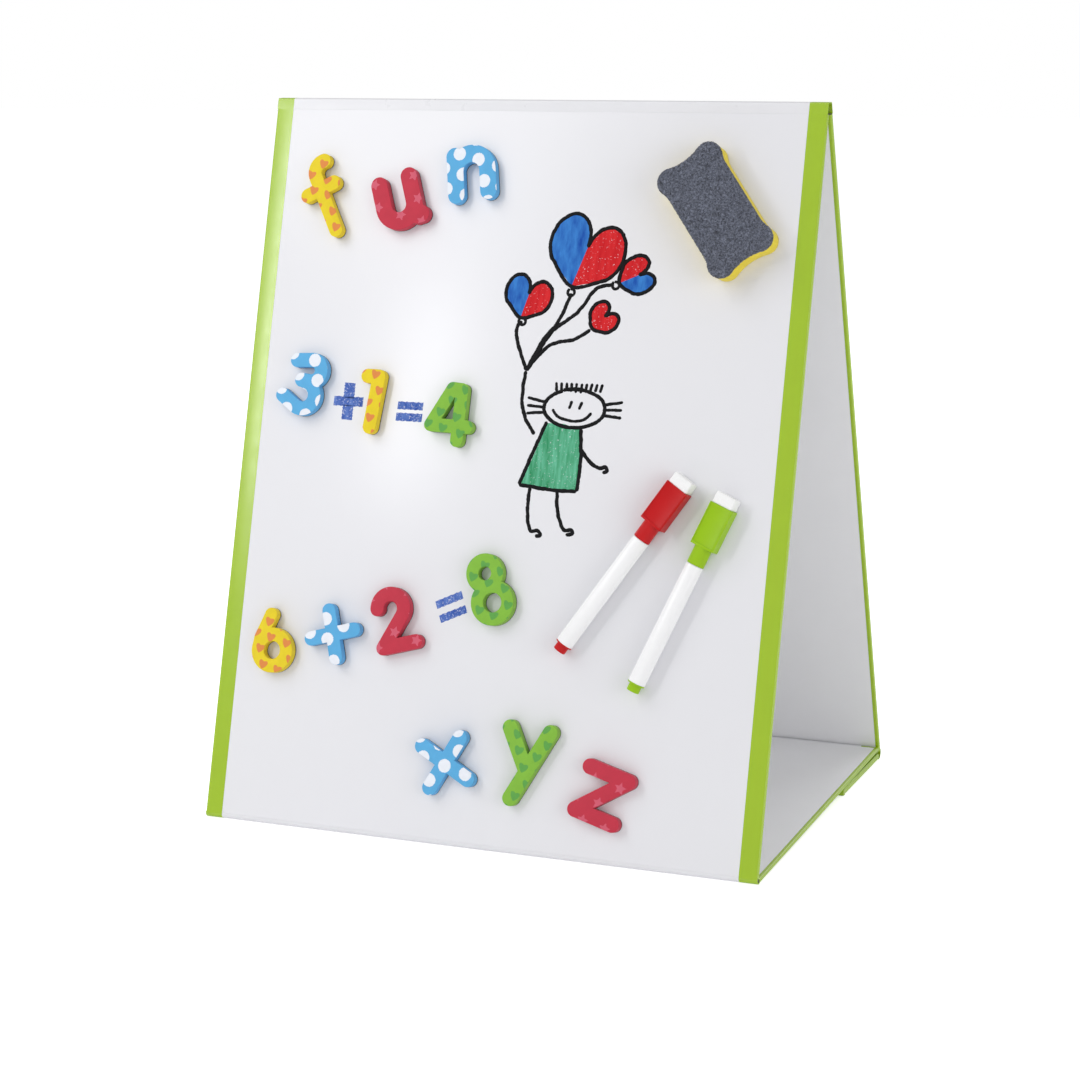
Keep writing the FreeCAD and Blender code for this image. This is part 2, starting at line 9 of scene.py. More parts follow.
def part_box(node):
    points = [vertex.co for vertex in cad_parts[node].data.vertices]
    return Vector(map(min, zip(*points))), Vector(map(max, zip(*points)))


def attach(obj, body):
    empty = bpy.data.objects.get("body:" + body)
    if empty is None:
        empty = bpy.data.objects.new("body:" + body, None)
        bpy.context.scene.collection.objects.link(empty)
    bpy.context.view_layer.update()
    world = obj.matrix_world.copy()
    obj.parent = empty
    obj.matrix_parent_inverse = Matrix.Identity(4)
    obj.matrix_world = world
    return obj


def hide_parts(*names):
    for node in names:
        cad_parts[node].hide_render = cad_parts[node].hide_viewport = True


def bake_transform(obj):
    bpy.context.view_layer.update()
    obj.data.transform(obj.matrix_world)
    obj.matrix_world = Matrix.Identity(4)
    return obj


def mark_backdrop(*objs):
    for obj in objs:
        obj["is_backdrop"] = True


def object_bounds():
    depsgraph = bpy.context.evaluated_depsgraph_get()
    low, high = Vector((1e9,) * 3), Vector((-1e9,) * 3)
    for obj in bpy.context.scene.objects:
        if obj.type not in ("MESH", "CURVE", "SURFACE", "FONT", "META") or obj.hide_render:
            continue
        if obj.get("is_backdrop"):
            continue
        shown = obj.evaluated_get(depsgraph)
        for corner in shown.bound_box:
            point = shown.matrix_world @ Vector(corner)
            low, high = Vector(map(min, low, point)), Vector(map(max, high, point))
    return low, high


# %% [markdown]
# # A folding tabletop easel
# Two leaning boards, a base and a flap are wrapped in printed film, and foam characters, an
# eraser and two markers cling to the front board. The solid parts arrive finished from the CAD
# model. This script gives them their soft edges, fibres, ink and finishes, without moving any.

# %% Load the frame
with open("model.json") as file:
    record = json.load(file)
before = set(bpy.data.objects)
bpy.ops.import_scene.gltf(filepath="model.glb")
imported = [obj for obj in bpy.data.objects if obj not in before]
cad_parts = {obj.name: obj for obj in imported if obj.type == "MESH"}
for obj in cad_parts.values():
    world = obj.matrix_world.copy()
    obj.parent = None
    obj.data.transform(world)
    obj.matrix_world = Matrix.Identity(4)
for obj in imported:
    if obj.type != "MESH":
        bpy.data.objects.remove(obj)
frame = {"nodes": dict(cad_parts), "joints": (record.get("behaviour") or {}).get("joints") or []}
cad_low, cad_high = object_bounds()
joints = {joint["name"]: joint for joint in frame["joints"]}
nodes = frame["nodes"]
MM = 0.001
print("the CAD box is", [round(v / MM, 1) for v in cad_high - cad_low], "mm")

# %% [markdown]
# ## Directions on the front board
# Everything on the board is placed from its lower left corner. The pieces lift straight off the
# board, so the axis of one of their slides is the board's outward direction. That is safer than
# typing the angle of the lean again, because it follows the model when the lean changes.

# %% Directions on the front board
ACROSS = Vector((1, 0, 0))
OUTWARD = Vector(joints["eraser_lift"]["axis"]).normalized()
UP_BOARD = OUTWARD.cross(ACROSS)
FOOT = -joints["flap_hinge"]["pos_m"][1]
CORNER = Vector((cad_low.x, FOOT, 0))
BOARD = Matrix.Translation(CORNER) @ Matrix((ACROSS, UP_BOARD, OUTWARD)).transposed().to_4x4()
BOARD_IN_MM = BOARD @ Matrix.Scale(MM, 4)
LEAN = math.asin(UP_BOARD.y)
print("the boards lean by", round(math.degrees(LEAN), 2), "degrees")

# %% [markdown]
# ## Building blocks for meshes
# A CAD solid comes as loose triangles, so a copy is welded and its flat faces are joined before
# anything is done to it. Sharp CAD edges catch no light, while a real moulded, cut or folded
# edge always has a small radius, so each copy gets a bevel. Doing it in one function keeps all
# the edges of the object alike.

# %% Building blocks for meshes
SHARP_FROM = math.radians(38)
EASED_FROM = math.radians(35)
WELD = 0.002 * MM


def welded_copy(node):
    """A CAD solid's mesh as joined faces, ready to be worked on."""
    shape = bmesh.new()
    shape.from_mesh(nodes[node].data)
    bmesh.ops.remove_doubles(shape, verts=shape.verts, dist=WELD)
    bmesh.ops.dissolve_limit(shape, angle_limit=math.radians(0.5), verts=shape.verts,
                             edges=shape.edges)
    return shape


def to_object(name, shape, materials):
    """Turn a worked mesh into an object at the origin, smooth but for its sharp edges."""
    mesh = bpy.data.meshes.new(name)
    shape.to_mesh(mesh)
    shape.free()
    for material in materials:
        mesh.materials.append(material)
    mesh.shade_smooth()
    mesh.set_sharp_from_angle(angle=SHARP_FROM)
    piece = bpy.data.objects.new(name, mesh)
    bpy.context.scene.collection.objects.link(piece)
    return piece


def finished(piece):
    """Replace a piece's mesh by what its modifiers make of it."""
    depsgraph = bpy.context.evaluated_depsgraph_get()
    mesh = bpy.data.meshes.new_from_object(piece.evaluated_get(depsgraph), depsgraph=depsgraph)
    piece.modifiers.clear()
    piece.data = mesh
    return piece


def ease_edges(shape, width, segments, chosen=None):
    """Round the sharp edges of a worked mesh, or those that a test picks."""
    shape.normal_update()
    sharp = []
    for edge in shape.edges:
        if edge.is_manifold and edge.calc_face_angle(0) > EASED_FROM:
            if chosen is None or chosen(edge):
                sharp.append(edge)
    bmesh.ops.bevel(shape, geom=sharp, offset=width, segments=segments, profile=0.5,
                    affect="EDGES", clamp_overlap=True)
    return shape


def install(piece, body, slot, *replaced):
    """Let a piece stand for CAD nodes, which it hides, and let it ride on a body; the slot is not
    used.
    """
    if replaced:
        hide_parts(*replaced)
    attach(piece, body)
    return piece


def paint_node(node, material):
    """Give a CAD node that stays as it is its finish."""
    nodes[node].data.materials.clear()
    nodes[node].data.materials.append(material)


print("edges sharper than", round(math.degrees(EASED_FROM)), "degrees get a bevel")

# %% [markdown]
# ## Building blocks for finishes
# Several finishes share the same effects: film that lies a little wavy, fibres that mottle a
# surface, the pores of foam. Each effect is a node group with named sockets, made once here and
# placed in a material with that material's own values. A group puts out only colours, masks and
# heights, and the shader itself stays in the material.

# %% Building blocks for finishes
def place(tree, kind, inputs=None, **settings):
    """Add a node, set it up, and link or set its inputs."""
    made = tree.nodes.new(kind)
    for key, value in settings.items():
        setattr(made, key, value)
    for key, value in (inputs or {}).items():
        if isinstance(value, bpy.types.NodeSocket):
            tree.links.new(value, made.inputs[key])
        else:
            made.inputs[key].default_value = value
    return made


def maths(tree, operation, *values):
    """One sum, given as sockets or numbers."""
    return place(tree, "ShaderNodeMath", dict(enumerate(values)), operation=operation).outputs[0]


def rescaled(tree, value, low=0.0, high=1.0, new_low=0.0, new_high=1.0):
    """A value moved from one range to another."""
    ranges = {"Value": value, "From Min": low, "From Max": high, "To Min": new_low,
              "To Max": new_high}
    return place(tree, "ShaderNodeMapRange", ranges).outputs[0]


def new_group(name, inputs, outputs):
    """A shader node group with named sockets: its tree, what comes in and what goes out."""
    tree = bpy.data.node_groups.new(name, "ShaderNodeTree")
    for direction, sockets in (("INPUT", inputs), ("OUTPUT", outputs)):
        for label, kind in sockets.items():
            tree.interface.new_socket(label, in_out=direction, socket_type="NodeSocket" + kind)
    entry = tree.nodes.new("NodeGroupInput")
    leave = tree.nodes.new("NodeGroupOutput")
    return tree, entry.outputs, leave.inputs


def use_group(tree, group, **values):
    """Place a group; words of a socket's name are joined by underscores here."""
    made = place(tree, "ShaderNodeGroup", node_tree=group)
    for key, value in values.items():
        socket = made.inputs[key.replace("_", " ")]
        if isinstance(value, bpy.types.NodeSocket):
            tree.links.new(value, socket)
        else:
            socket.default_value = value
    return made.outputs


def colour(code):
    """A paint chart's hexadecimal colour as the linear numbers that shaders need."""
    linear = []
    for start in (0, 2, 4):
        share = int(code[start:start + 2], 16) / 255
        linear.append(share / 12.92 if share <= 0.04045 else ((share + 0.055) / 1.055) ** 2.4)
    return (*linear, 1)


def new_material(name, roughness, **sockets):
    """A material with its shader's plain values set: its tree, shader and object coordinates."""
    material = bpy.data.materials.new(name)
    material.use_nodes = True
    tree = material.node_tree
    shader = tree.nodes["Principled BSDF"]
    shader.inputs["Roughness"].default_value = roughness
    for key, value in sockets.items():
        shader.inputs[key.replace("_", " ")].default_value = value
    here = place(tree, "ShaderNodeTexCoord").outputs["Object"]
    return material, tree, shader, here


def bump(tree, shader, height, distance, strength=1.0):
    """Feed a height in metres times its distance to the shader's normal."""
    made = place(tree, "ShaderNodeBump",
                 {"Height": height, "Distance": distance, "Strength": strength})
    tree.links.new(made.outputs[0], shader.inputs["Normal"])


def between(tree, share, first, second):
    """A colour between two, by a share."""
    made = place(tree, "ShaderNodeMix", data_type="RGBA")
    tree.links.new(share, made.inputs[0])
    for socket, value in ((made.inputs[6], first), (made.inputs[7], second)):
        if isinstance(value, bpy.types.NodeSocket):
            tree.links.new(value, socket)
        else:
            socket.default_value = value
    return made.outputs[2]


print("the board's foam and ink patterns turn by", round(math.degrees(LEAN - math.pi / 2)), "degrees")

# %% [markdown]
# ## Shared effects
# Three effects come back in many finishes. Film and paper never lie quite flat, so a broad noise
# with a fine one on top makes their height. Worn gloss and uneven colour are patches of a noise
# with its contrast raised. Foam is full of round cells, which a Voronoi texture lays out.

# %% Shared effects: waves, mottling and pores
wavy_sheet, come, go = new_group(
    "wavy sheet", {"Vector": "Vector", "Wave Scale": "Float", "Grain Scale": "Float",
                   "Grain Share": "Float"}, {"Height": "Float"})
broad = place(wavy_sheet, "ShaderNodeTexNoise",
              {"Vector": come["Vector"], "Scale": come["Wave Scale"], "Detail": 1.0})
fine = place(wavy_sheet, "ShaderNodeTexNoise",
             {"Vector": come["Vector"], "Scale": come["Grain Scale"], "Detail": 2.0})
grain_part = maths(wavy_sheet, "MULTIPLY", fine.outputs[0], come["Grain Share"])
wavy_sheet.links.new(maths(wavy_sheet, "ADD", broad.outputs[0], grain_part), go["Height"])

mottled, come, go = new_group(
    "mottled tone", {"Vector": "Vector", "Scale": "Float", "Contrast": "Float"},
    {"Tone": "Float"})
patches = place(mottled, "ShaderNodeTexNoise",
                {"Vector": come["Vector"], "Scale": come["Scale"], "Detail": 4.0,
                 "Roughness": 0.6})
centred = maths(mottled, "SUBTRACT", patches.outputs[0], 0.5)
spread = maths(mottled, "MULTIPLY", centred, come["Contrast"])
tone = place(mottled, "ShaderNodeClamp", {"Value": maths(mottled, "ADD", spread, 0.5)})
mottled.links.new(tone.outputs[0], go["Tone"])

foam_pores, come, go = new_group(
    "foam pores", {"Vector": "Vector", "Pore Scale": "Float"},
    {"Height": "Float", "Tone": "Float"})
cells = place(foam_pores, "ShaderNodeTexVoronoi",
              {"Vector": come["Vector"], "Scale": come["Pore Scale"], "Randomness": 1.0})
walls = maths(foam_pores, "POWER", cells.outputs["Distance"], 2.0)
foam_pores.links.new(walls, go["Height"])
foam_pores.links.new(maths(foam_pores, "SUBTRACT", 1.0, walls), go["Tone"])
print("groups:", [group.name for group in bpy.data.node_groups])

# %% [markdown]
# ## Printed hearts, stars and dots
# The foam sheets are printed before the characters are cut out, so a print runs on over the
# edge of each character. One group lays a staggered grid over the board and gives each cell its
# own middle, as a printer's repeat does. A second group for each motif tests whether a point
# lies inside it, by a formula. Drawing each motif as a mesh would be far heavier, and it could
# not be cut by the outline.

# %% Printed hearts, stars and dots
repeat, come, go = new_group(
    "staggered repeat", {"Vector": "Vector", "Spacing": "Float", "Size": "Float",
                         "Turn": "Float"},
    {"Across": "Float", "Up": "Float", "Ragged": "Float"})
onto_board = place(repeat, "ShaderNodeMapping", {"Vector": come["Vector"]},
                   vector_type="POINT")
onto_board.inputs["Rotation"].default_value = (LEAN - math.pi / 2, 0, 0)
turned = place(repeat, "ShaderNodeVectorRotate",
               {"Vector": onto_board.outputs[0], "Angle": come["Turn"]},
               rotation_type="Z_AXIS")
split = place(repeat, "ShaderNodeSeparateXYZ", {0: turned.outputs[0]})
column = maths(repeat, "DIVIDE", split.outputs[0], come["Spacing"])
row = maths(repeat, "DIVIDE", split.outputs[1], maths(repeat, "MULTIPLY", come["Spacing"], 0.8))
row_number = maths(repeat, "FLOOR", row)
stagger = maths(repeat, "MULTIPLY", maths(repeat, "MODULO", row_number, 2.0), 0.5)
column = maths(repeat, "ADD", column, stagger)
cell_name = place(repeat, "ShaderNodeCombineXYZ",
                  {0: maths(repeat, "FLOOR", column), 1: row_number})
luck = place(repeat, "ShaderNodeTexWhiteNoise", {"Vector": cell_name.outputs[0]})
drift = place(repeat, "ShaderNodeSeparateXYZ", {0: luck.outputs["Color"]})
wobble = maths(repeat, "MULTIPLY", maths(repeat, "SUBTRACT", drift.outputs[0], 0.5), 0.16)
in_cell_x = maths(repeat, "SUBTRACT", maths(repeat, "FRACT", column), 0.5)
in_cell_y = maths(repeat, "SUBTRACT", maths(repeat, "FRACT", row), 0.5)
to_size = maths(repeat, "DIVIDE", come["Spacing"], come["Size"])
across = maths(repeat, "MULTIPLY", maths(repeat, "ADD", in_cell_x, wobble), to_size)
upward = maths(repeat, "MULTIPLY", maths(repeat, "MULTIPLY", in_cell_y, 0.8), to_size)
ragged = place(repeat, "ShaderNodeTexNoise", {"Vector": come["Vector"], "Scale": 1600.0})
repeat.links.new(across, go["Across"])
repeat.links.new(upward, go["Up"])
repeat.links.new(maths(repeat, "SUBTRACT", ragged.outputs[0], 0.5), go["Ragged"])


HEART_OVAL = 0.82
HEART_SHEAR = 0.66
HEART_DROP = 0.12


def squared_length(tree, x, y):
    """How far a point lies from its cell's middle, squared."""
    return maths(tree, "ADD", maths(tree, "MULTIPLY", x, x), maths(tree, "MULTIPLY", y, y))


def heart_test(tree, x, y):
    """Inside a flat oval that is sheared upwards on both sides of its middle."""
    sheared = maths(tree, "SUBTRACT", maths(tree, "ADD", y, HEART_DROP),
                    maths(tree, "MULTIPLY", maths(tree, "ABSOLUTE", x), HEART_SHEAR))
    yy = maths(tree, "POWER", maths(tree, "ABSOLUTE", maths(tree, "DIVIDE", sheared,
                                                            HEART_OVAL)), 2.0)
    return maths(tree, "SUBTRACT", 1.0, maths(tree, "ADD", maths(tree, "MULTIPLY", x, x), yy))


def star_test(tree, x, y):
    """Inside the straight edge that runs from a tip to its neighbouring notch."""
    angle = maths(tree, "PINGPONG", maths(tree, "ADD", maths(tree, "ARCTAN2", x, y), 2 * math.pi),
                  math.pi / 5)
    reach = maths(tree, "SQRT", squared_length(tree, x, y))
    edge = maths(tree, "ADD", maths(tree, "COSINE", angle),
                 maths(tree, "MULTIPLY", maths(tree, "SINE", angle), 2.0))
    return maths(tree, "SUBTRACT", 1.0, maths(tree, "MULTIPLY", reach, edge))


def dot_test(tree, x, y):
    """Inside the unit circle."""
    return maths(tree, "SUBTRACT", 1.0, squared_length(tree, x, y))


def motif_group(name, test, softness):
    """A group that puts out the mask of one motif, repeated over the board."""
    tree, entry, leave = new_group(name, {"Vector": "Vector", "Spacing": "Float",
                                          "Size": "Float", "Turn": "Float"}, {"Mask": "Float"})
    laid = use_group(tree, repeat, Vector=entry["Vector"], Spacing=entry["Spacing"],
                     Size=entry["Size"], Turn=entry["Turn"])
    inside = maths(tree, "ADD", test(tree, laid["Across"], laid["Up"]),
                   maths(tree, "MULTIPLY", laid["Ragged"], 0.4))
    tree.links.new(rescaled(tree, inside, high=softness), leave["Mask"])
    return tree


hearts = motif_group("heart print", heart_test, 0.12)
stars = motif_group("star print", star_test, 0.06)
dots = motif_group("dot print", dot_test, 0.12)
print("prints:", hearts.name, stars.name, dots.name)

# %% [markdown]
# ## Films, papers and plastics
# Most of the finishes differ only in colour, gloss and grain: printed film, paper, moulded
# plastic, sprayed steel. One function makes them all, with a colour that drifts a little and a
# fine grain in the surface, so that no face is perfectly even. The gloss comes from the shader.

# %% Films, papers and plastics
def drifting(tree, here, code, drift, scale, contrast=2.0):
    """A colour that drifts towards a darker one in soft patches."""
    base = colour(code)
    darker = (*(channel * (1 - drift) for channel in base[:3]), 1)
    shade = use_group(tree, mottled, Vector=here, Scale=scale, Contrast=contrast)["Tone"]
    return between(tree, shade, darker, base)


def surface(name, code, roughness, drift=0.04, patch=40.0, wave=30.0, grain=1500.0, share=0.3,
            depth=0.02 * MM, contrast=1.5, **sockets):
    """A finish with drifting colour, uneven gloss and a fine grain."""
    material, tree, shader, here = new_material(name, roughness, **sockets)
    tree.links.new(drifting(tree, here, code, drift, patch, contrast),
                   shader.inputs["Base Color"])
    worn = use_group(tree, mottled, Vector=here, Scale=patch * 1.7, Contrast=contrast)["Tone"]
    gloss = rescaled(tree, worn, new_low=roughness * 0.8, new_high=roughness * 1.2)
    tree.links.new(gloss, shader.inputs["Roughness"])
    height = use_group(tree, wavy_sheet, Vector=here, Wave_Scale=wave, Grain_Scale=grain,
                       Grain_Share=share)["Height"]
    bump(tree, shader, height, depth)
    return material


film = surface("writing film", "EAEAEE", 0.26, drift=0.02, patch=9.0, wave=14.0, grain=900.0,
               share=0.02, depth=0.07 * MM, contrast=0.5, IOR=1.45)
wrap = surface("white wrap", "E6E6EA", 0.3, drift=0.03, wave=25.0, grain=1800.0, share=0.02,
               depth=0.12 * MM)
green_print = surface("green binding", "A2C41E", 0.24, drift=0.06, patch=55.0, wave=40.0,
                      grain=2200.0, share=0.05, depth=0.04 * MM, IOR=1.65)
liner = surface("liner paper", "F1F1F3", 0.62, drift=0.03, wave=18.0, grain=2600.0, share=0.05,
                depth=0.2 * MM)
greyboard = surface("greyboard", "A19D94", 0.85, drift=0.25, patch=700.0, grain=1900.0,
                    share=0.8, depth=0.08 * MM)
steel = surface("steel sheet", "A9ABAE", 0.35, drift=0.12, patch=200.0, grain=2400.0,
                depth=0.01 * MM, Metallic=1.0)
ferrite = surface("ferrite", "3A3A3D", 0.6, drift=0.2, patch=900.0, depth=0.03 * MM)
magnet_sheet = surface("magnet sheet", "1B1B1D", 0.55, drift=0.3, patch=600.0, grain=3000.0,
                       share=0.7, depth=0.03 * MM)
barrel_white = surface("white plastic", "FAFAFB", 0.24, drift=0.02, patch=90.0, wave=90.0,
                       grain=2500.0, share=0.05, depth=0.03 * MM)
print("finishes so far:", len(bpy.data.materials))

# %% [markdown]
# ## Coloured plastic, foam and felt
# The caps and plugs are moulded in a slightly clear plastic, so a little light goes into them.
# The foam is closed-cell: its face carries the print and its cut wall shows fine pores. The wall's
# foam is coloured a little darker than the face's, which is painted shade. The felt is a grey mass
# of short fibres, and its mottled base has to hold its own between the loose fibres that are added
# to its mesh later.

# %% Coloured plastic, foam and felt
def moulded(name, code):
    """Coloured plastic with a soft gloss and a faint orange-peel skin."""
    return surface(name, code, 0.4, drift=0.08, patch=120.0, wave=220.0, grain=2600.0,
                   share=0.08, depth=0.03 * MM, Specular_IOR_Level=0.3, Subsurface_Weight=0.08,
                   Subsurface_Radius=(0.004, 0.002, 0.001), Subsurface_Scale=0.3)


def foam(name, code, print_code=None, motif=None, spacing=9.6 * MM, size=2.7 * MM, turn=0.25):
    """Closed-cell foam: fine pores, and a printed motif if it has one."""
    material, tree, shader, here = new_material(name, 0.72, Sheen_Weight=0.08)
    base = drifting(tree, here, code, 0.1, 160.0)
    pores = use_group(tree, foam_pores, Vector=here, Pore_Scale=2600.0)
    if motif:
        mask = use_group(tree, motif, Vector=here, Spacing=spacing, Size=size,
                         Turn=turn)["Mask"]
        printed = drifting(tree, here, print_code, 0.08, 220.0)
        base = between(tree, mask, base, printed)
    tree.links.new(base, shader.inputs["Base Color"])
    bump(tree, shader, pores["Height"], 0.05 * MM, 0.6)
    return material


# The plain foams go on the cut walls. Each is a little darker than the printed face of its colour:
# painted shade.
plain_foams_with_painted_shade = {"yellow": foam("yellow foam", "E4C818"), "red": foam("red foam", "BE2A44"),
               "blue": foam("blue foam", "5AA6DC"), "green": foam("green foam", "7FB238")}
printed_foams = {
    "yellow": foam("yellow foam with hearts", "EDD414", "E58C42", hearts),
    "red": foam("red foam with stars", "C62A42", "D65A70", stars, 14 * MM, 3.4 * MM),
    "blue": foam("blue foam with dots", "5AB0E4", "F0F4FC", dots, 12.5 * MM, 3.7 * MM),
    "green": foam("green foam with hearts", "84BE38", "5CA646", hearts)}
cap_plastics = {"red": moulded("red plastic", "C60A10"),
                "green": moulded("green plastic", "9CC80C")}
eraser_foam = foam("eraser foam", "F0D838")
pad_felt = surface("white felt pad", "FBFBFB", 0.95, drift=0.07, patch=900.0, wave=900.0,
                   grain=2600.0, share=0.9, depth=0.15 * MM, Sheen_Weight=0.3)
nib_felt = surface("nib felt", "5A1A1E", 0.9, drift=0.3, patch=1200.0, grain=3000.0, share=0.8,
                   depth=0.06 * MM)


def felt_finish():
    """Grey felt whose fibres each have their own tone, stored on the mesh."""
    material, tree, shader, here = new_material("grey felt", 0.95, Sheen_Weight=0.25)
    own = place(tree, "ShaderNodeAttribute", attribute_name="tone").outputs["Fac"]
    patches = use_group(tree, mottled, Vector=here, Scale=1100.0, Contrast=5.0)["Tone"]
    mixed = maths(tree, "ADD", maths(tree, "MULTIPLY", own, 0.55),
                  maths(tree, "MULTIPLY", patches, 0.45))
    tree.links.new(between(tree, mixed, colour("181C2A"), colour("999FB2")),
                   shader.inputs["Base Color"])
    matted = use_group(tree, wavy_sheet, Vector=here, Wave_Scale=900.0, Grain_Scale=2600.0,
                       Grain_Share=0.8)["Height"]
    bump(tree, shader, matted, 0.3 * MM)
    return material


grey_felt = felt_finish()
print("finishes so far:", len(bpy.data.materials))

# %% [markdown]
# ## Boards and their liners
# Each panel is a greyboard core between printed sheets. The sheets that show get a tiny bevel,
# which catches the light as a fine line where two of them meet. The cores, the steel and the
# flap's magnets are shut in, so they stay as they come from the CAD and only get a finish.

# %% Boards and their liners
SHEET_EASE = 0.1 * MM


def eased_sheet(node, body, slot, material):
    """A flat sheet with its edges just broken."""
    shape = ease_edges(welded_copy(node), SHEET_EASE, 2)
    return install(to_object(node + "_sheet", shape, [material]), body, slot, node)


for node, slot, material in (
        ("front_writing_film", "dry_erase_film", film), ("back_outer_film", "dry_erase_film", film),
        ("front_liner", "liner_paper", liner), ("back_liner", "liner_paper", liner),
        ("base_liner", "liner_paper", liner), ("base_bottom_wrap", "white_wrap", wrap),
        ("flap_wrap", "white_wrap", wrap)):
    eased_sheet(node, node.split("_")[0] + "_panel", slot, material)
for node, material in (("front_core", greyboard), ("back_core", greyboard),
                       ("base_core", greyboard), ("flap_core", greyboard),
                       ("front_steel_sheet", steel), ("base_steel_keeper", steel),
                       ("flap_magnets", ferrite)):
    paint_node(node, material)
print("sheets eased by", round(SHEET_EASE / MM, 2), "mm")

# %% [markdown]
# ## Trees that grow a mesh
# Three things on the easel follow a rule: its folded tape, the fibres of the felt and the pen
# lines. Modelling each fold or hair by hand would take far longer and come out less alike, so
# Geometry Nodes make them. These helpers build a tree with named inputs, end it with real meshes
# and a finish, and run it once on a piece, so that a plain mesh is left.

# %% Trees that grow a mesh
def new_tree(name, sockets):
    """A Geometry Nodes tree with named inputs: the tree, what comes in and its way out."""
    tree = bpy.data.node_groups.new(name, "GeometryNodeTree")
    tree.interface.new_socket("Geometry", in_out="INPUT", socket_type="NodeSocketGeometry")
    for label, kind in sockets.items():
        tree.interface.new_socket(label, in_out="INPUT", socket_type="NodeSocket" + kind)
    tree.interface.new_socket("Geometry", in_out="OUTPUT", socket_type="NodeSocketGeometry")
    entry = tree.nodes.new("NodeGroupInput")
    return tree, entry.outputs, tree.nodes.new("NodeGroupOutput").inputs[0]


def hand_over(tree, geometry, material, way_out):
    """End a tree: instances made real, the material set."""
    real = place(tree, "GeometryNodeRealizeInstances", {0: geometry})
    painted = place(tree, "GeometryNodeSetMaterial", {0: real.outputs[0], "Material": material})
    tree.links.new(painted.outputs[0], way_out)


def grow(piece, tree, **values):
    """Run a tree on a piece, its inputs set by identifier, and keep the mesh it makes."""
    grower = piece.modifiers.new("grower", "NODES")
    grower.node_group = tree
    for item in tree.interface.items_tree:
        key = item.name.replace(" ", "_")
        if item.item_type == "SOCKET" and item.in_out == "INPUT" and key in values:
            grower[item.identifier] = values[key]
    return finished(piece)


print("ready to build the trees of the tape, the fibres and the pen lines")

# %% [markdown]
# ## Folded green bindings
# The green bands are tape folded round the edge of each board: wide outside, a narrow turn-in
# inside. Bending a flat strip by hand would need a new bend for each board. The shape follows a
# rule instead: four corners make a line, the corners are rounded as a real fold is, and the line
# is drawn out to the board's length. The same tree makes every fold, with other sizes.

# %% The tree of a folded tape
tape, come, way_out = new_tree("folded tape", {
    "Length": "Float", "Thickness": "Float", "Band": "Float", "Turn In": "Float",
    "Radius": "Float", "Material": "Material"})
corners = place(tape, "GeometryNodeIndexSwitch", data_type="VECTOR")
while len(corners.index_switch_items) < 4:
    corners.index_switch_items.new()
tape.links.new(place(tape, "GeometryNodeInputIndex").outputs[0], corners.inputs[0])
for number, (x, y) in enumerate(((come["Band"], 0.0), (0.0, 0.0), (0.0, come["Thickness"]),
                                 (come["Turn In"], come["Thickness"]))):
    corner = place(tape, "ShaderNodeCombineXYZ", {0: x, 1: y})
    tape.links.new(corner.outputs[0], corners.inputs[number + 1])
four = place(tape, "GeometryNodeMeshLine", {"Count": 4})
folded = place(tape, "GeometryNodeSetPosition",
               {0: four.outputs[0], "Position": corners.outputs[0]})
path = place(tape, "GeometryNodeMeshToCurve", {0: folded.outputs[0]})
rounded = place(tape, "GeometryNodeFilletCurve",
                {0: path.outputs[0], "Count": 5, "Radius": come["Radius"]}, mode="POLY")
profile = place(tape, "GeometryNodeCurveToMesh", {0: rounded.outputs[0]})
run = place(tape, "ShaderNodeCombineXYZ", {2: come["Length"]})
drawn_out = place(tape, "GeometryNodeExtrudeMesh",
                  {0: profile.outputs[0], "Offset": run.outputs[0], "Offset Scale": 1.0},
                  mode="EDGES")
hand_over(tape, drawn_out.outputs[0], come["Material"], way_out)
print("the tape's tree has", len(tape.nodes), "nodes")

# %% [markdown]
# ## Tape on a panel
# The folded profile has no thickness yet. Solidify gives it a wall that grows inwards, so that
# its outside stays flush with the CAD's. Both bands of a panel are one piece: the left one, and
# the same mesh laid the other way round on the right.

# %% Tape on a panel
WRAP = 0.3 * MM
BAND = 10 * MM
TURN_IN = 2 * MM
BAND_RADIUS = 0.8 * MM
THIN_RADIUS = 0.7 * MM


def folded_tape(material, length, thickness, band, turn_in, radius):
    """A folded tape's closed mesh: x from the edge inwards, y through the board, z along it."""
    piece = bpy.data.objects.new("tape", bpy.data.meshes.new("tape"))
    bpy.context.scene.collection.objects.link(piece)
    grow(piece, tape, Length=length, Thickness=thickness, Band=band, Turn_In=turn_in,
         Radius=radius, Material=material)
    wall = piece.modifiers.new("wall", "SOLIDIFY")
    wall.thickness = WRAP
    wall.offset = -1
    mesh = finished(piece).data
    bpy.data.objects.remove(piece)
    return mesh


def joined(name, parts, materials):
    """Meshes, each with its place and material number, as one object."""
    whole = bmesh.new()
    for mesh, matrix, number in parts:
        part = mesh.copy()
        part.transform(matrix)
        before = len(whole.faces)
        whole.from_mesh(part)
        whole.faces.ensure_lookup_table()
        for face in whole.faces[before:]:
            face.material_index = number
    bmesh.ops.recalc_face_normals(whole, faces=whole.faces)
    return to_object(name, whole, materials)


def axes(origin, x, y, z):
    """The matrix that puts a mesh's axes along three directions."""
    return Matrix.Translation(origin) @ Matrix((x, y, z)).transposed().to_4x4()


def reach(node, direction, start):
    """Where a CAD node begins and ends along a direction."""
    spots = [(vertex.co - start).dot(direction) for vertex in nodes[node].data.vertices]
    return min(spots), max(spots)


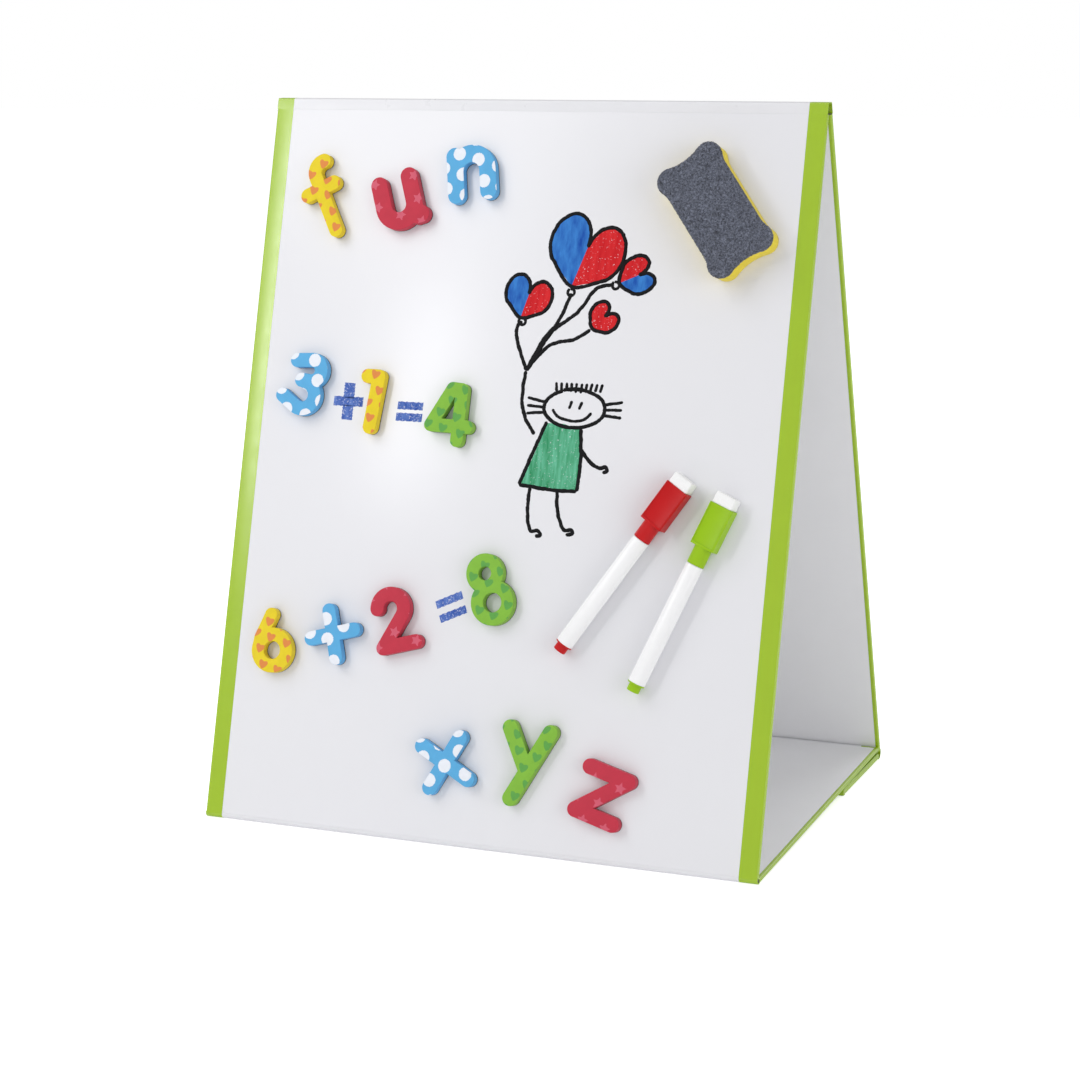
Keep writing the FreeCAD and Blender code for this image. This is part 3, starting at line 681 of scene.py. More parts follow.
def bound_panel(panel, foot, along, outward, radius):
    """Both side bindings of a panel, as one piece."""
    node = panel + "_side_bindings"
    begin, end = reach(node, along, foot)
    thickness = reach(node, -outward, foot)[1]
    mesh = folded_tape(green_print, end - begin, thickness, BAND, TURN_IN, radius)
    start = foot + begin * along
    left = axes(start, ACROSS, -outward, along)
    right = axes(start - 2 * foot.x * ACROSS, -ACROSS, -outward, along)
    piece = joined(panel + "_green_bands", [(mesh, left, 0), (mesh, right, 0)], [green_print])
    print(panel, "bands", round((end - begin) / MM, 1), "x", round(thickness / MM, 2), "mm")
    return install(piece, panel + "_panel", "green_binding", node)


# %% [markdown]
# ## Where the four panels lie
# Front and back lean against each other, so the back's directions are the front's, mirrored. The
# base tilts a little, because its rear edge rests on the flap: its direction is measured from
# the corners of its wrap. The flap lies flat on the table.

# %% Where the four panels lie
EDGE = cad_low.x
BACK_OUT = Vector((0, -OUTWARD.y, OUTWARD.z))
BACK_UP = Vector((0, -UP_BOARD.y, UP_BOARD.z))
wrap_corners = [vertex.co for vertex in nodes["base_bottom_wrap"].data.vertices]
base_front = min(wrap_corners, key=lambda spot: spot.z)
base_rear = min((spot for spot in wrap_corners if spot.y > 0), key=lambda spot: spot.z)
BASE_ALONG = Vector((0, base_rear.y - base_front.y, base_rear.z - base_front.z)).normalized()
BASE_OUT = BASE_ALONG.cross(ACROSS)
BASE_FOOT = Vector((EDGE, base_front.y, base_front.z))
DOWN = Vector((0, 0, -1))
REAR_FOOT = Vector((EDGE, -FOOT, 0))
bound_panel("front", CORNER, UP_BOARD, OUTWARD, BAND_RADIUS)
bound_panel("back", REAR_FOOT, BACK_UP, BACK_OUT, BAND_RADIUS)
bound_panel("base", BASE_FOOT, BASE_ALONG, BASE_OUT, THIN_RADIUS)
bound_panel("flap", REAR_FOOT, Vector((0, -1, 0)), DOWN, BAND_RADIUS)

# %% [markdown]
# ## Folds where a sheet ends
# At the rear edge of the base and at the front edge of the flap the wrap goes round the board,
# white along the middle and green where the bands are. The same tape makes them. It stands a
# tenth of a millimetre proud, because paper that is glued over paper does.

# %% Folds where a sheet ends
PROUD = 0.1 * MM
BASE_FOLD = 4 * MM
FLAP_FOLD = 3 * MM


def edge_fold(name, panel, edge, inwards, outward, thickness, band, turn_in, middle=True):
    """A fold round a panel's end edge: green at both ends and white between them."""
    start = edge - PROUD * inwards + PROUD * outward
    deep = thickness + 2 * PROUD
    end_tape = folded_tape(green_print, BAND, deep, band, turn_in, THIN_RADIUS)
    far = start - 2 * (edge.x + BAND / 2) * ACROSS
    parts = [(end_tape, axes(start, inwards, -outward, ACROSS), 0),
             (end_tape, axes(far, inwards, -outward, ACROSS), 0)]
    if middle:
        length = 2 * (abs(edge.x) - BAND)
        long_tape = folded_tape(wrap, length, deep, band, turn_in, THIN_RADIUS)
        parts.append((long_tape, axes(start + BAND * ACROSS, inwards, -outward, ACROSS), 1))
    return install(joined(name, parts, [green_print, wrap]), panel, "white_wrap")


base_length = reach("base_liner", BASE_ALONG, BASE_FOOT)[1]
base_thick = reach("base_side_bindings", -BASE_OUT, BASE_FOOT)[1]
edge_fold("base_rear_fold", "base_panel", BASE_FOOT + base_length * BASE_ALONG, -BASE_ALONG,
          BASE_OUT, base_thick, BASE_FOLD, TURN_IN)
flap_front = Vector((EDGE, min(vertex.co.y for vertex in nodes["flap_wrap"].data.vertices), 0))
flap_thick = reach("flap_side_bindings", -DOWN, REAR_FOOT)[1]
edge_fold("flap_front_fold", "flap_panel", flap_front - PROUD * DOWN, Vector((0, 1, 0)),
          DOWN, flap_thick - PROUD, FLAP_FOLD, FLAP_FOLD, middle=False)
print("the base is", round(base_thick / MM, 2), "mm thick and the flap", round(flap_thick / MM, 2))

# %% [markdown]
# ## Hinge strips
# The boards have no metal hinges: the wrap itself runs from one board to the next and bends.
# Each strip is a copy of the CAD's, cut where the green bands cross it: white between the cuts
# and green at its ends.

# %% Hinge strips
def hinge_strip(node, first, second, start, end):
    """A strip, white with green ends; the two panels and the two points are not used."""
    shape = welded_copy(node)
    for side in (-1, 1):
        bmesh.ops.bisect_plane(shape, geom=[*shape.verts, *shape.edges, *shape.faces],
                               plane_co=(side * (abs(EDGE) - BAND), 0, 0),
                               plane_no=(side, 0, 0), dist=0.001 * MM)
    for face in shape.faces:
        green = abs(face.calc_center_median().x) > abs(EDGE) - BAND
        face.material_index = 1 if green else 0
    piece = to_object(node + "_bent", shape, [wrap, green_print])
    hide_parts(node)
    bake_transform(piece)
    return piece


spine_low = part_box("top_spine_strip")[0].z
SPINE_TURN = 4.5 * MM
FRONT_BEND = ((1.0, 3.4), (4.4, 0.3))
REAR_BEND = ((1.5, 5.3), (5.5, 0.3))
hinge_strip("top_spine_strip", "front_panel", "back_panel", (0, -SPINE_TURN, spine_low),
            (0, SPINE_TURN, spine_low))
hinge_strip("front_foot_strip", "front_panel", "base_panel",
            *[(0, FOOT + inside * MM, height * MM) for inside, height in FRONT_BEND])
hinge_strip("rear_foot_strip", "back_panel", "flap_panel",
            *[(0, -FOOT - inside * MM, height * MM) for inside, height in REAR_BEND])

# %% [markdown]
# ## Foam characters
# A die cuts each character through printed foam and the magnet sheet behind it. The die presses
# the foam down at the rim, so the printed face rolls over into the cut wall. A small round
# bevel on the front outline gives that roll. The print covers what faces outwards and the plain
# foam shows on the wall, coloured a little darker than the face as painted shade.

# %% Foam characters
RIM = 0.3 * MM
NEARLY = 0.01 * MM
COLOUR_OF = {"letter_f": "yellow", "letter_u": "red", "letter_n": "blue", "digit_3": "blue",
             "digit_1": "yellow", "digit_4": "green", "digit_6": "yellow", "sign_plus": "blue",
             "digit_2": "red", "digit_8": "green", "letter_x": "blue", "letter_y": "green",
             "letter_z": "red"}


def stands_out(vertex):
    """How far a point of a mesh stands out from the board."""
    return (vertex.co - CORNER).dot(OUTWARD)


def soft_block(node, name, width, segments, materials):
    """A foam block with its outer rim rolled over, its face and wall told apart."""
    shape = welded_copy(node)
    level = max(stands_out(vertex) for vertex in shape.verts)

    def on_rim(edge):
        return all(stands_out(vertex) > level - NEARLY for vertex in edge.verts)

    ease_edges(shape, width, segments, on_rim)
    shape.normal_update()
    for face in shape.faces:
        # The wall takes the second material, the darker plain foam: painted shade.
        face.material_index = 0 if face.normal.dot(OUTWARD) > 0.3 else 1
    return to_object(name, shape, materials)


for character, shade in COLOUR_OF.items():
    block = soft_block(character + "_foam", character + "_soft_foam", RIM, 3,
                       [printed_foams[shade], plain_foams_with_painted_shade[shade]])
    install(block, character, "foam_" + shade, character + "_foam")
    paint_node(character + "_magnet", magnet_sheet)
print(len(COLOUR_OF), "characters with a rolled rim of", round(RIM / MM, 2), "mm")

# %% [markdown]
# ## The board eraser
# A bone-shaped block of foam holds a thick felt. Felt is seen by its fibres, so Geometry Nodes
# scatter short bent hairs over the felt's face and give each its own tone. A bump map alone
# would leave the felt's outline too clean.

# %% Tree of felt fibres
fibres, come, way_out = new_tree("felt fibres", {
    "Amount": "Float", "Length": "Float", "Thickness": "Float", "Outward": "Vector",
    "Seed": "Int", "Material": "Material"})
facing = place(fibres, "ShaderNodeVectorMath",
               {0: place(fibres, "GeometryNodeInputNormal").outputs[0], 1: come["Outward"]},
               operation="DOT_PRODUCT").outputs["Value"]
seen = maths(fibres, "GREATER_THAN", facing, -0.3)
spots = place(fibres, "GeometryNodeDistributePointsOnFaces",
              {"Mesh": come["Geometry"], "Selection": seen, "Density": come["Amount"],
               "Seed": come["Seed"]})
hair_line = place(fibres, "GeometryNodeCurvePrimitiveBezierSegment",
                  {"Resolution": 3, "Start": (-0.5, 0, 0), "Start Handle": (-0.2, 0.3, 0.12),
                   "End Handle": (0.2, 0.3, 0.16), "End": (0.5, 0, 0.04)})
section = place(fibres, "GeometryNodeCurvePrimitiveCircle",
                {"Resolution": 3, "Radius": come["Thickness"]})
hair = place(fibres, "GeometryNodeCurveToMesh",
             {"Curve": hair_line.outputs[0], "Profile Curve": section.outputs[0]})
upright = place(fibres, "FunctionNodeAlignRotationToVector",
                {"Vector": spots.outputs["Normal"]}, axis="Z")
spin = place(fibres, "FunctionNodeRandomValue",
             {"Min": 0.0, "Max": 2 * math.pi, "Seed": come["Seed"]}, data_type="FLOAT")
spin_value = next(output for output in spin.outputs if output.enabled)
about_up = place(fibres, "FunctionNodeAxisAngleToRotation", {"Angle": spin_value})
facing_way = place(fibres, "FunctionNodeRotateRotation",
                   {0: upright.outputs[0], 1: about_up.outputs[0]}, rotation_space="LOCAL")
scattered = place(fibres, "GeometryNodeInstanceOnPoints",
                  {"Points": spots.outputs[0], "Instance": hair.outputs[0],
                   "Rotation": facing_way.outputs[0], "Scale": come["Length"]})
tone_of = place(fibres, "FunctionNodeRandomValue",
                {"Min": 0.0, "Max": 1.0, "Seed": come["Seed"], "ID": place(
                    fibres, "GeometryNodeInputIndex").outputs[0]}, data_type="FLOAT")
tone_value = next(output for output in tone_of.outputs if output.enabled)
toned = place(fibres, "GeometryNodeStoreNamedAttribute",
              {"Geometry": scattered.outputs[0], "Name": "tone", "Value": tone_value},
              data_type="FLOAT", domain="INSTANCE")
base_tone = place(fibres, "GeometryNodeStoreNamedAttribute",
                  {"Geometry": come["Geometry"], "Name": "tone", "Value": 0.4},
                  data_type="FLOAT", domain="POINT")
loose = place(fibres, "GeometryNodeRealizeInstances", {0: toned.outputs[0]})
together = place(fibres, "GeometryNodeJoinGeometry")
fibres.links.new(base_tone.outputs[0], together.inputs[0])
fibres.links.new(loose.outputs[0], together.inputs[0])
hand_over(fibres, together.outputs[0], come["Material"], way_out)
print("the felt's tree has", len(fibres.nodes), "nodes")

# %% [markdown]
# ## Putting the eraser together
# The felt and the foam are CAD blocks with rolled edges, the felt's softer than the foam's. A
# magnet glued on as a full layer would show as a dark line at the foam's foot. Here it is taken
# to be let into the foam, so the foam is drawn down over it and the magnet is a little smaller.

# %% The eraser's foam, felt and magnet
FELT_ROLL = 0.7 * MM
FOAM_ROLL = 0.5 * MM
FIBRES_A_SQUARE_METRE = 2.4e6
FIBRE_LENGTH = 1.8 * MM
FIBRE_THINNESS = 0.05
LET_IN_DEPTH = 0.9
LET_IN_SIZE = 0.94
felt = to_object("eraser_soft_felt", ease_edges(welded_copy("eraser_felt"), FELT_ROLL, 3),
                 [grey_felt])
grow(felt, fibres, Amount=FIBRES_A_SQUARE_METRE, Length=FIBRE_LENGTH, Thickness=FIBRE_THINNESS,
     Outward=tuple(OUTWARD), Seed=4, Material=grey_felt)
install(felt, "board_eraser", "felt", "eraser_felt")
block_shape = welded_copy("eraser_foam")
foot_level = min(stands_out(vertex) for vertex in block_shape.verts)
for vertex in block_shape.verts:
    if stands_out(vertex) < foot_level + NEARLY:
        vertex.co -= LET_IN_DEPTH * foot_level * OUTWARD
eraser_block = to_object("eraser_soft_foam", ease_edges(block_shape, FOAM_ROLL, 2), [eraser_foam])
install(eraser_block, "board_eraser", "eraser_foam", "eraser_foam")
let_in = welded_copy("eraser_magnet")
low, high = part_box("eraser_magnet")
about = Matrix.Translation((low + high) / 2)
let_in.transform(about @ Matrix.Scale(LET_IN_SIZE, 4) @ about.inverted())
install(to_object("eraser_let_in_magnet", let_in, [magnet_sheet]), "board_eraser",
        "magnet_sheet", "eraser_magnet")
print("the felt and its fibres have", len(felt.data.polygons), "faces")

# %% [markdown]
# ## The two markers
# Barrel and plug are turned parts with broken edges. The cap is moulded: its front is sunk
# between two thin side rails, which a boolean cut makes best, since the cut follows the
# rounded corners of the block. The pad on the end is felt.

# %% The two markers
CAP_WIDTH = 13.5 * MM
CAP_DEPTH = 10 * MM
RAIL = 0.9 * MM
SUNK = 0.55 * MM
SUNK_FROM = 1.2 * MM
OVERRUN = 2 * MM
BLOCK_START = 82.5 * MM
BLOCK_END = 105.8 * MM
PAD_MIDDLE = 108.9 * MM
CAP_EASE = 0.18 * MM


def eased_part(node, name, body, slot, material, width, segments=2):
    """A moulded or turned part with its sharp edges rounded."""
    shape = ease_edges(welded_copy(node), width, segments)
    return install(to_object(name, shape, [material]), body, slot, node)


def sunk_cap(marker, shade):
    """The cap, its front face sunk between two side rails."""
    axis = Vector(joints[marker.split("_")[0] + "_cap_pull"]["axis"]).normalized()
    sideways = OUTWARD.cross(axis)
    low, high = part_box(marker + "_pad")
    origin = (low + high) / 2 - PAD_MIDDLE * axis
    cap = to_object(marker + "_sunk_cap", welded_copy(marker + "_cap"), [cap_plastics[shade]])
    cutter_mesh = bmesh.new()
    bmesh.ops.create_cube(cutter_mesh, size=1)
    length = BLOCK_END - BLOCK_START + OVERRUN
    middle = origin + (BLOCK_START + SUNK_FROM + length / 2) * axis + CAP_DEPTH / 2 * OUTWARD
    spread = Matrix.Diagonal((CAP_WIDTH - 2 * RAIL, 2 * SUNK, length, 1))
    cutter_mesh.transform(axes(middle, sideways, OUTWARD, axis) @ spread)
    bmesh.ops.recalc_face_normals(cutter_mesh, faces=cutter_mesh.faces)
    cutter = to_object("cutter", cutter_mesh, [cap_plastics[shade]])
    sink = cap.modifiers.new("sink", "BOOLEAN")
    sink.operation = "DIFFERENCE"
    sink.solver = "EXACT"
    sink.object = cutter
    finished(cap)
    bpy.data.objects.remove(cutter)
    shape = bmesh.new()
    shape.from_mesh(cap.data)
    ease_edges(shape, CAP_EASE, 2)
    shape.to_mesh(cap.data)
    shape.free()
    cap.data.shade_smooth()
    cap.data.set_sharp_from_angle(angle=SHARP_FROM)
    return install(cap, marker + "_cap_body", "marker_" + shade, marker + "_cap")


for shade in ("red", "green"):
    marker = shade + "_marker"
    eased_part(marker + "_barrel", marker + "_eased_barrel", marker, "barrel_white",
               barrel_white, 0.25 * MM)
    eased_part(marker + "_plug", marker + "_eased_plug", marker, "marker_" + shade,
               cap_plastics[shade], 0.3 * MM)
    eased_part(marker + "_nib", marker + "_eased_nib", marker, "nib_felt", nib_felt, 0.15 * MM)
    eased_part(marker + "_pad", marker + "_soft_pad", marker + "_cap_body", "pad_foam",
               pad_felt, 0.6 * MM, 3)
    sunk_cap(marker, shade)
print("the caps are sunk by", round(SUNK / MM, 2), "mm between rails of", round(RAIL / MM, 2))

# %% [markdown]
# ## Marker ink
# Ink lies on the film as a thin skin. Filled parts are streaky, because a marker leaves a
# stripe at each stroke, so their colour runs between wet and dry along one direction. All the
# drawing is planned in millimetres on the board and put in place at the end.

# %% Ink finishes
def ink(name, wet, dry, turn=0.0, stripe=420.0, along=0.12, bare=0.0):
    """Marker ink with streaks that run one way, and a share where the film shows through."""
    material, tree, shader, here = new_material(name, 0.45, Specular_IOR_Level=0.12)
    laid = place(tree, "ShaderNodeMapping", {"Vector": here}, vector_type="POINT")
    laid.inputs["Rotation"].default_value = (LEAN - math.pi / 2, 0, 0)
    turned = place(tree, "ShaderNodeMapping", {"Vector": laid.outputs[0]}, vector_type="POINT")
    turned.inputs["Rotation"].default_value = (0, 0, turn)
    turned.inputs["Scale"].default_value = (1, along, 1)
    streak = use_group(tree, mottled, Vector=turned.outputs[0], Scale=stripe,
                       Contrast=2.2)["Tone"]
    inked = between(tree, streak, colour(wet), colour(dry))
    if bare:
        specks = use_group(tree, mottled, Vector=laid.outputs[0], Scale=1100.0,
                           Contrast=3.0)["Tone"]
        open_share = rescaled(tree, specks, low=1 - bare, new_high=0.7)
        inked = between(tree, open_share, inked, colour("E2E4EE"))
    tree.links.new(inked, shader.inputs["Base Color"])
    height = use_group(tree, wavy_sheet, Vector=turned.outputs[0], Wave_Scale=stripe,
                       Grain_Scale=2600.0, Grain_Share=0.3)["Height"]
    bump(tree, shader, height, 0.02 * MM)
    return material


black_ink = ink("black ink", "060607", "17171A")
blue_ink = ink("blue ink", "1048A4", "3F8AD6", turn=0.7, stripe=260.0, along=0.3)
red_ink = ink("red ink", "C20E1A", "DC2C30", turn=-0.7, bare=0.05)
green_ink = ink("green ink", "128048", "74C8A6", turn=0.05, stripe=420.0, along=0.12, bare=0.08)
sign_ink = ink("sign ink", "2348A4", "6886CC", turn=1.45, stripe=420.0, along=0.3, bare=0.3)
print("finishes in all:", len(bpy.data.materials))

# %% [markdown]
# ## Pen lines
# A felt-tip line keeps its width, trembles a little with the hand and ends round. Geometry
# Nodes follow each row of points with a smooth curve, shake it with noise, and sweep a flat
# oval along it. A painted texture would turn blurred close up, while these lines stay sharp.

# %% The tree of a pen line
pen, come, way_out = new_tree("pen line", {
    "Width": "Float", "Tremble": "Float", "Material": "Material"})
row_of_points = place(pen, "GeometryNodeMeshToCurve", {0: come["Geometry"]})
smooth = place(pen, "GeometryNodeCurveSplineType", {0: row_of_points.outputs[0]},
               spline_type="CATMULL_ROM")
stepped = place(pen, "GeometryNodeResampleCurve", {0: smooth.outputs[0], "Length": 0.5},
                mode="LENGTH")
shake = place(pen, "ShaderNodeTexNoise", {"Scale": 0.22, "Detail": 2.0})
centred_shake = place(pen, "ShaderNodeVectorMath",
                      {0: shake.outputs["Color"], 1: (0.5, 0.5, 0.5)}, operation="SUBTRACT")
flat_shake = place(pen, "ShaderNodeVectorMath", {0: centred_shake.outputs[0], 1: (1, 1, 0)},
                   operation="MULTIPLY")
offset = place(pen, "ShaderNodeVectorMath",
               {0: flat_shake.outputs[0], "Scale": come["Tremble"]}, operation="SCALE")
shaken = place(pen, "GeometryNodeSetPosition",
               {0: stepped.outputs[0], "Offset": offset.outputs[0]})
where = place(pen, "GeometryNodeSplineParameter")
whole_length = place(pen, "GeometryNodeSplineLength")
to_end = maths(pen, "SUBTRACT", whole_length.outputs["Length"], where.outputs["Length"])
nearest = maths(pen, "MINIMUM", where.outputs["Length"], to_end)
half = maths(pen, "MULTIPLY", come["Width"], 0.5)
share = place(pen, "ShaderNodeClamp", {"Value": maths(pen, "DIVIDE", nearest, half)})
back = maths(pen, "SUBTRACT", 1.0, share.outputs[0])
round_end = maths(pen, "SQRT", maths(pen, "SUBTRACT", 1.04, maths(pen, "MULTIPLY", back, back)))
pressure = place(pen, "ShaderNodeTexNoise", {"Scale": 0.6, "Detail": 1.0})
firm = maths(pen, "ADD", 0.7, maths(pen, "MULTIPLY", pressure.outputs[0], 0.6))
radius = maths(pen, "MULTIPLY", maths(pen, "MULTIPLY", half, firm), round_end)
sized = place(pen, "GeometryNodeSetCurveRadius", {0: shaken.outputs[0], "Radius": radius})
level = place(pen, "GeometryNodeSetCurveNormal", {0: sized.outputs[0]}, mode="Z_UP")
oval = place(pen, "GeometryNodeTransform", {
    0: place(pen, "GeometryNodeCurvePrimitiveCircle",
             {"Resolution": 6, "Radius": 1.0}).outputs[0], "Scale": (1, 0.05, 1)})
swept = place(pen, "GeometryNodeCurveToMesh",
              {"Curve": level.outputs[0], "Profile Curve": oval.outputs[0], "Fill Caps": True})
pen.links.new(radius, swept.inputs["Scale"])
hand_over(pen, swept.outputs[0], come["Material"], way_out)
print("the pen's tree has", len(pen.nodes), "nodes")

# %% [markdown]
# ## Lines and fills
# A drawing is made of lines and of filled shapes. Both are planned in millimetres on the board,
# and a matrix puts them in place at the end. The lines lie a little higher than the fills, so
# that the black outlines cover the edges of the colour.

# %% Lines and fills
FULL_TURN = 2 * math.pi
LINE = 2.0
FINE_LINE = 1.6
LINE_LEVEL = 0.045
FILL_LEVEL = 0.03
FILL_FOOT = 0.01


def pen_lines(name, lines, width, tremble, material):
    """Rows of points in board millimetres, drawn with a pen; a row that ends where it began
    is closed."""
    net = bmesh.new()
    for line in lines:
        closed = math.dist(line[0], line[-1]) < 0.01
        made = [net.verts.new((x, y, LINE_LEVEL)) for x, y in (line[:-1] if closed else line)]
        for first, second in zip(made, made[1:]):
            net.edges.new((first, second))
        if closed:
            net.edges.new((made[-1], made[0]))
    piece = to_object(name, net, [material])
    grow(piece, pen, Width=width, Tremble=tremble, Material=material)
    piece.data.transform(BOARD_IN_MM)
    piece.data.shade_smooth()
    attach(piece, "front_panel")
    return piece


def fills(name, outlines, material):
    """Closed outlines filled with a thin skin of ink."""
    skin = bmesh.new()
    for outline in outlines:
        top = skin.faces.new([skin.verts.new((x, y, FILL_LEVEL)) for x, y in outline])
        grown = bmesh.ops.extrude_face_region(skin, geom=[top])
        moved = [item for item in grown["geom"] if isinstance(item, bmesh.types.BMVert)]
        bmesh.ops.translate(skin, verts=moved, vec=(0, 0, FILL_FOOT - FILL_LEVEL))
    bmesh.ops.recalc_face_normals(skin, faces=skin.faces)
    skin.transform(BOARD_IN_MM)
    piece = to_object(name, skin, [material])
    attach(piece, "front_panel")
    return piece


print("lines are", LINE, "and", FINE_LINE, "mm wide")

# %% [markdown]
# ## A child's drawing
# The board carries a simple drawing: a figure that holds heart balloons on strings. Hearts and
# head follow formulas, so their size and turn are the only numbers they need. The rest is a few
# points for each stroke.

# %% Hearts by formula
LOBE = (0.5, 0.6, 0.5, 0.4)
LOBE_STEPS = 18
LOBE_FROM = math.pi
LOBE_TO = math.radians(-67.4)


def heart(tip, turn, width, height, sides=(1, -1)):
    """Points of a heart, or of one half: an oval lobe on each side, then straight to the tip."""
    x_mid, y_mid, x_radius, y_radius = LOBE
    lean = math.radians(turn)
    row = []
    for side in sides:
        half = []
        for step in range(LOBE_STEPS + 1):
            swing = LOBE_FROM + (LOBE_TO - LOBE_FROM) * step / LOBE_STEPS
            half.append((side * (x_mid + x_radius * math.cos(swing)) * width / 2,
                         (y_mid + y_radius * math.sin(swing)) * height))
        half.append((0, 0))
        row += half if len(row) == 0 else half[-2::-1]
    return [(tip[0] + x * math.cos(lean) + y * math.sin(lean),
             tip[1] - x * math.sin(lean) + y * math.cos(lean)) for x, y in row]


# Each heart: its tip, its turn in degrees, its width and height, and the sides (1 is the right)
# that are red and blue. A 0 instead of the blue side makes the heart all red.
HEARTS = [((185.6, 300.6), 19, 43, 37, (1, -1)), ((158.3, 283), 16, 27, 22, (1, -1)),
          ((212.4, 303.2), 66, 20, 19, (-1, 1)), ((199.4, 278.8), 46, 17, 15, (1, 0))]
outlines, blue_halves, red_halves = [], [], []
for tip, turn, width, height, (red_side, blue_side) in HEARTS:
    outlines.append(heart(tip, turn, width, height))
    if blue_side:
        red_halves.append(heart(tip, turn, width, height, [red_side]))
        blue_halves.append(heart(tip, turn, width, height, [blue_side]))
    else:
        red_halves.append(heart(tip, turn, width, height)[:-1])
fills("ink_hearts_blue", blue_halves, blue_ink)
fills("ink_hearts_red", red_halves, red_ink)
print(len(HEARTS), "hearts,", len(blue_halves), "of them half blue")

# %% [markdown]
# ## Strings and figure
# The strings of the balloons meet in one point and run on to the figure's hand. Head, hair and
# knots are ovals and rows from a loop. The other strokes are rows of two to six points, which
# the pen's smooth curve joins.

# %% Strings and figure
def oval_row(x, y, across, up, steps=28, over=0.0):
    """Points round an oval; over makes the hand run on past its beginning."""
    return [(x + across * math.cos(FULL_TURN * step / steps + 2) * (1 + over * step / steps),
             y + up * math.sin(FULL_TURN * step / steps + 2) * (1 + over * step / steps))
            for step in range(steps + 1)]


MEET = (164.4, 255)
strings = [[MEET, (158, 270), (157, 277.5), (159.5, 281)],
           [MEET, (172.5, 271.3), (180, 281.3), (184.4, 292.5), (186, 297)],
           [MEET, (177.5, 276.3), (190, 286.3), (200, 300), (209.5, 302)],
           [MEET, (176.3, 268.8), (190, 272.5), (198.8, 278)],
           [MEET, (163.6, 242.5), (165.5, 232), (172.5, 221)]]
knots = [oval_row(x, y, 1.9, 1.9, 10) for x, y in ((185.8, 297.4), (159.4, 281), (210.4, 302))]
head = [oval_row(193.8, 236, 17, 10, over=0.03)]
top_hair = [[(183 + 2.7 * hair, 244.6 + 0.6 * math.sin(hair)), (182.4 + 2.9 * hair, 249.6)]
            for hair in range(10)]
side_hair = [[(193.8 + side * 16, 236 + 2.6 * hair), (193.8 + side * 27, 236.4 + 4.2 * hair)]
             for side in (-1, 1) for hair in (-1, 0, 1)]
face = [[(192.3, 240), (190.8, 235.6)], [(198, 240), (196.3, 235.6)],
        [(181.5, 235), (185, 231.4), (192.5, 229.4), (200, 230.6), (203.8, 234.4)]]
DRESS = [(179, 228.4), (198.6, 225.6), (199.6, 192.4), (166.6, 194.2)]
dress_lines = [[DRESS[0], (172.6, 211), DRESS[3]], [DRESS[3], (183, 192.6), DRESS[2]],
               [DRESS[2], (200.2, 209), DRESS[1]]]
limbs = [[(199.6, 215), (205, 208.8), (210.6, 205.6), (214.4, 206.2), (215.6, 204), (213, 203.4)],
         [(173, 193), (173, 180), (175.6, 170.4), (179.8, 170.6), (181.6, 168.4), (178.4, 167.4)],
         [(188.5, 192.5), (190, 181.3), (194, 172.4), (198.2, 172.2), (199.4, 170), (195.8, 169.6)]]
pen_lines("ink_outlines", outlines + dress_lines + head, LINE, 1.0, black_ink)
pen_lines("ink_strings", strings + limbs, LINE, 1.3, black_ink)
pen_lines("ink_knots_and_hair", knots + top_hair + side_hair + face, FINE_LINE, 0.8, black_ink)
fills("ink_dress", [[(179.6, 227.6), (173.4, 210), (167.8, 195), (183, 192.8), (198.8, 193.2),
                     (199.8, 209), (198, 225.2), (189, 227.6)]], green_ink)
print(len(strings), "strings and", len(top_hair) + len(side_hair), "hairs")

# %% [markdown]
# ## Signs between the numbers
# The plus and the equals signs are drawn with the flat side of a blue marker. A bar with slightly
# uneven sides is all that they need, so one function makes all seven strokes.

# %% Signs between the numbers
def bar(x, y, length, thick, turn):
    """A stroke's outline: a bar with slightly uneven sides."""
    lean = math.radians(turn)
    row = []
    for step in range(24):
        side = 1 if step < 12 else -1
        share = (step % 12) / 11 * 2 - 1
        along = side * share * length / 2 + 0.35 * math.sin(step * 2.3)
        across = -side * thick / 2 + 0.22 * math.sin(step * 3.7)
        row.append((x + along * math.cos(lean) - across * math.sin(lean),
                    y + along * math.sin(lean) + across * math.cos(lean)))
    return row


fills("ink_signs", [bar(61.7, 233.2, 17.6, 5.2, 0), bar(61.8, 239, 8.4, 6.4, 90),
                    bar(61.8, 227, 8, 6.4, 90), bar(99, 232.6, 15, 4.2, 0),
                    bar(98.8, 226.4, 15.4, 4.4, 0), bar(133, 130.2, 16, 4.2, 25),
                    bar(136, 122.9, 16, 4.2, 25)], sign_ink)

# %% [markdown]
# ## Light, floor and camera
# A large soft light stands to the front left, so that characters throw short shadows to the
# right and down. A weaker one fills in from the right, and a white world does the rest. The
# floor is plain and pale. The camera looks slightly down from the front right with a long lens.

# %% Light and floor
CAMERA_SPOT = Vector((0.5469, -1.3186, 0.4585))
SKY_LIGHTS = 0.52
SKY_SEEN = 1.0
FLOOR_LIGHTS = 0.12
FLOOR_SEEN = 0.62
FLOOR_LEVEL = -0.1 * MM
GLARE_HEIGHT = 0.29
GLARE_DISTANCE = 1.2
scene = bpy.context.scene
scene.view_settings.view_transform = "Standard"
world = bpy.data.worlds.new("studio")
scene.world = world
world.use_nodes = True
sky = world.node_tree.nodes["Background"]
only_seen = place(world.node_tree, "ShaderNodeLightPath").outputs["Is Camera Ray"]
brightness = rescaled(world.node_tree, only_seen, new_low=SKY_LIGHTS, new_high=SKY_SEEN)
world.node_tree.links.new(brightness, sky.inputs["Strength"])
sky.inputs["Color"].default_value = (1, 1, 1, 1)


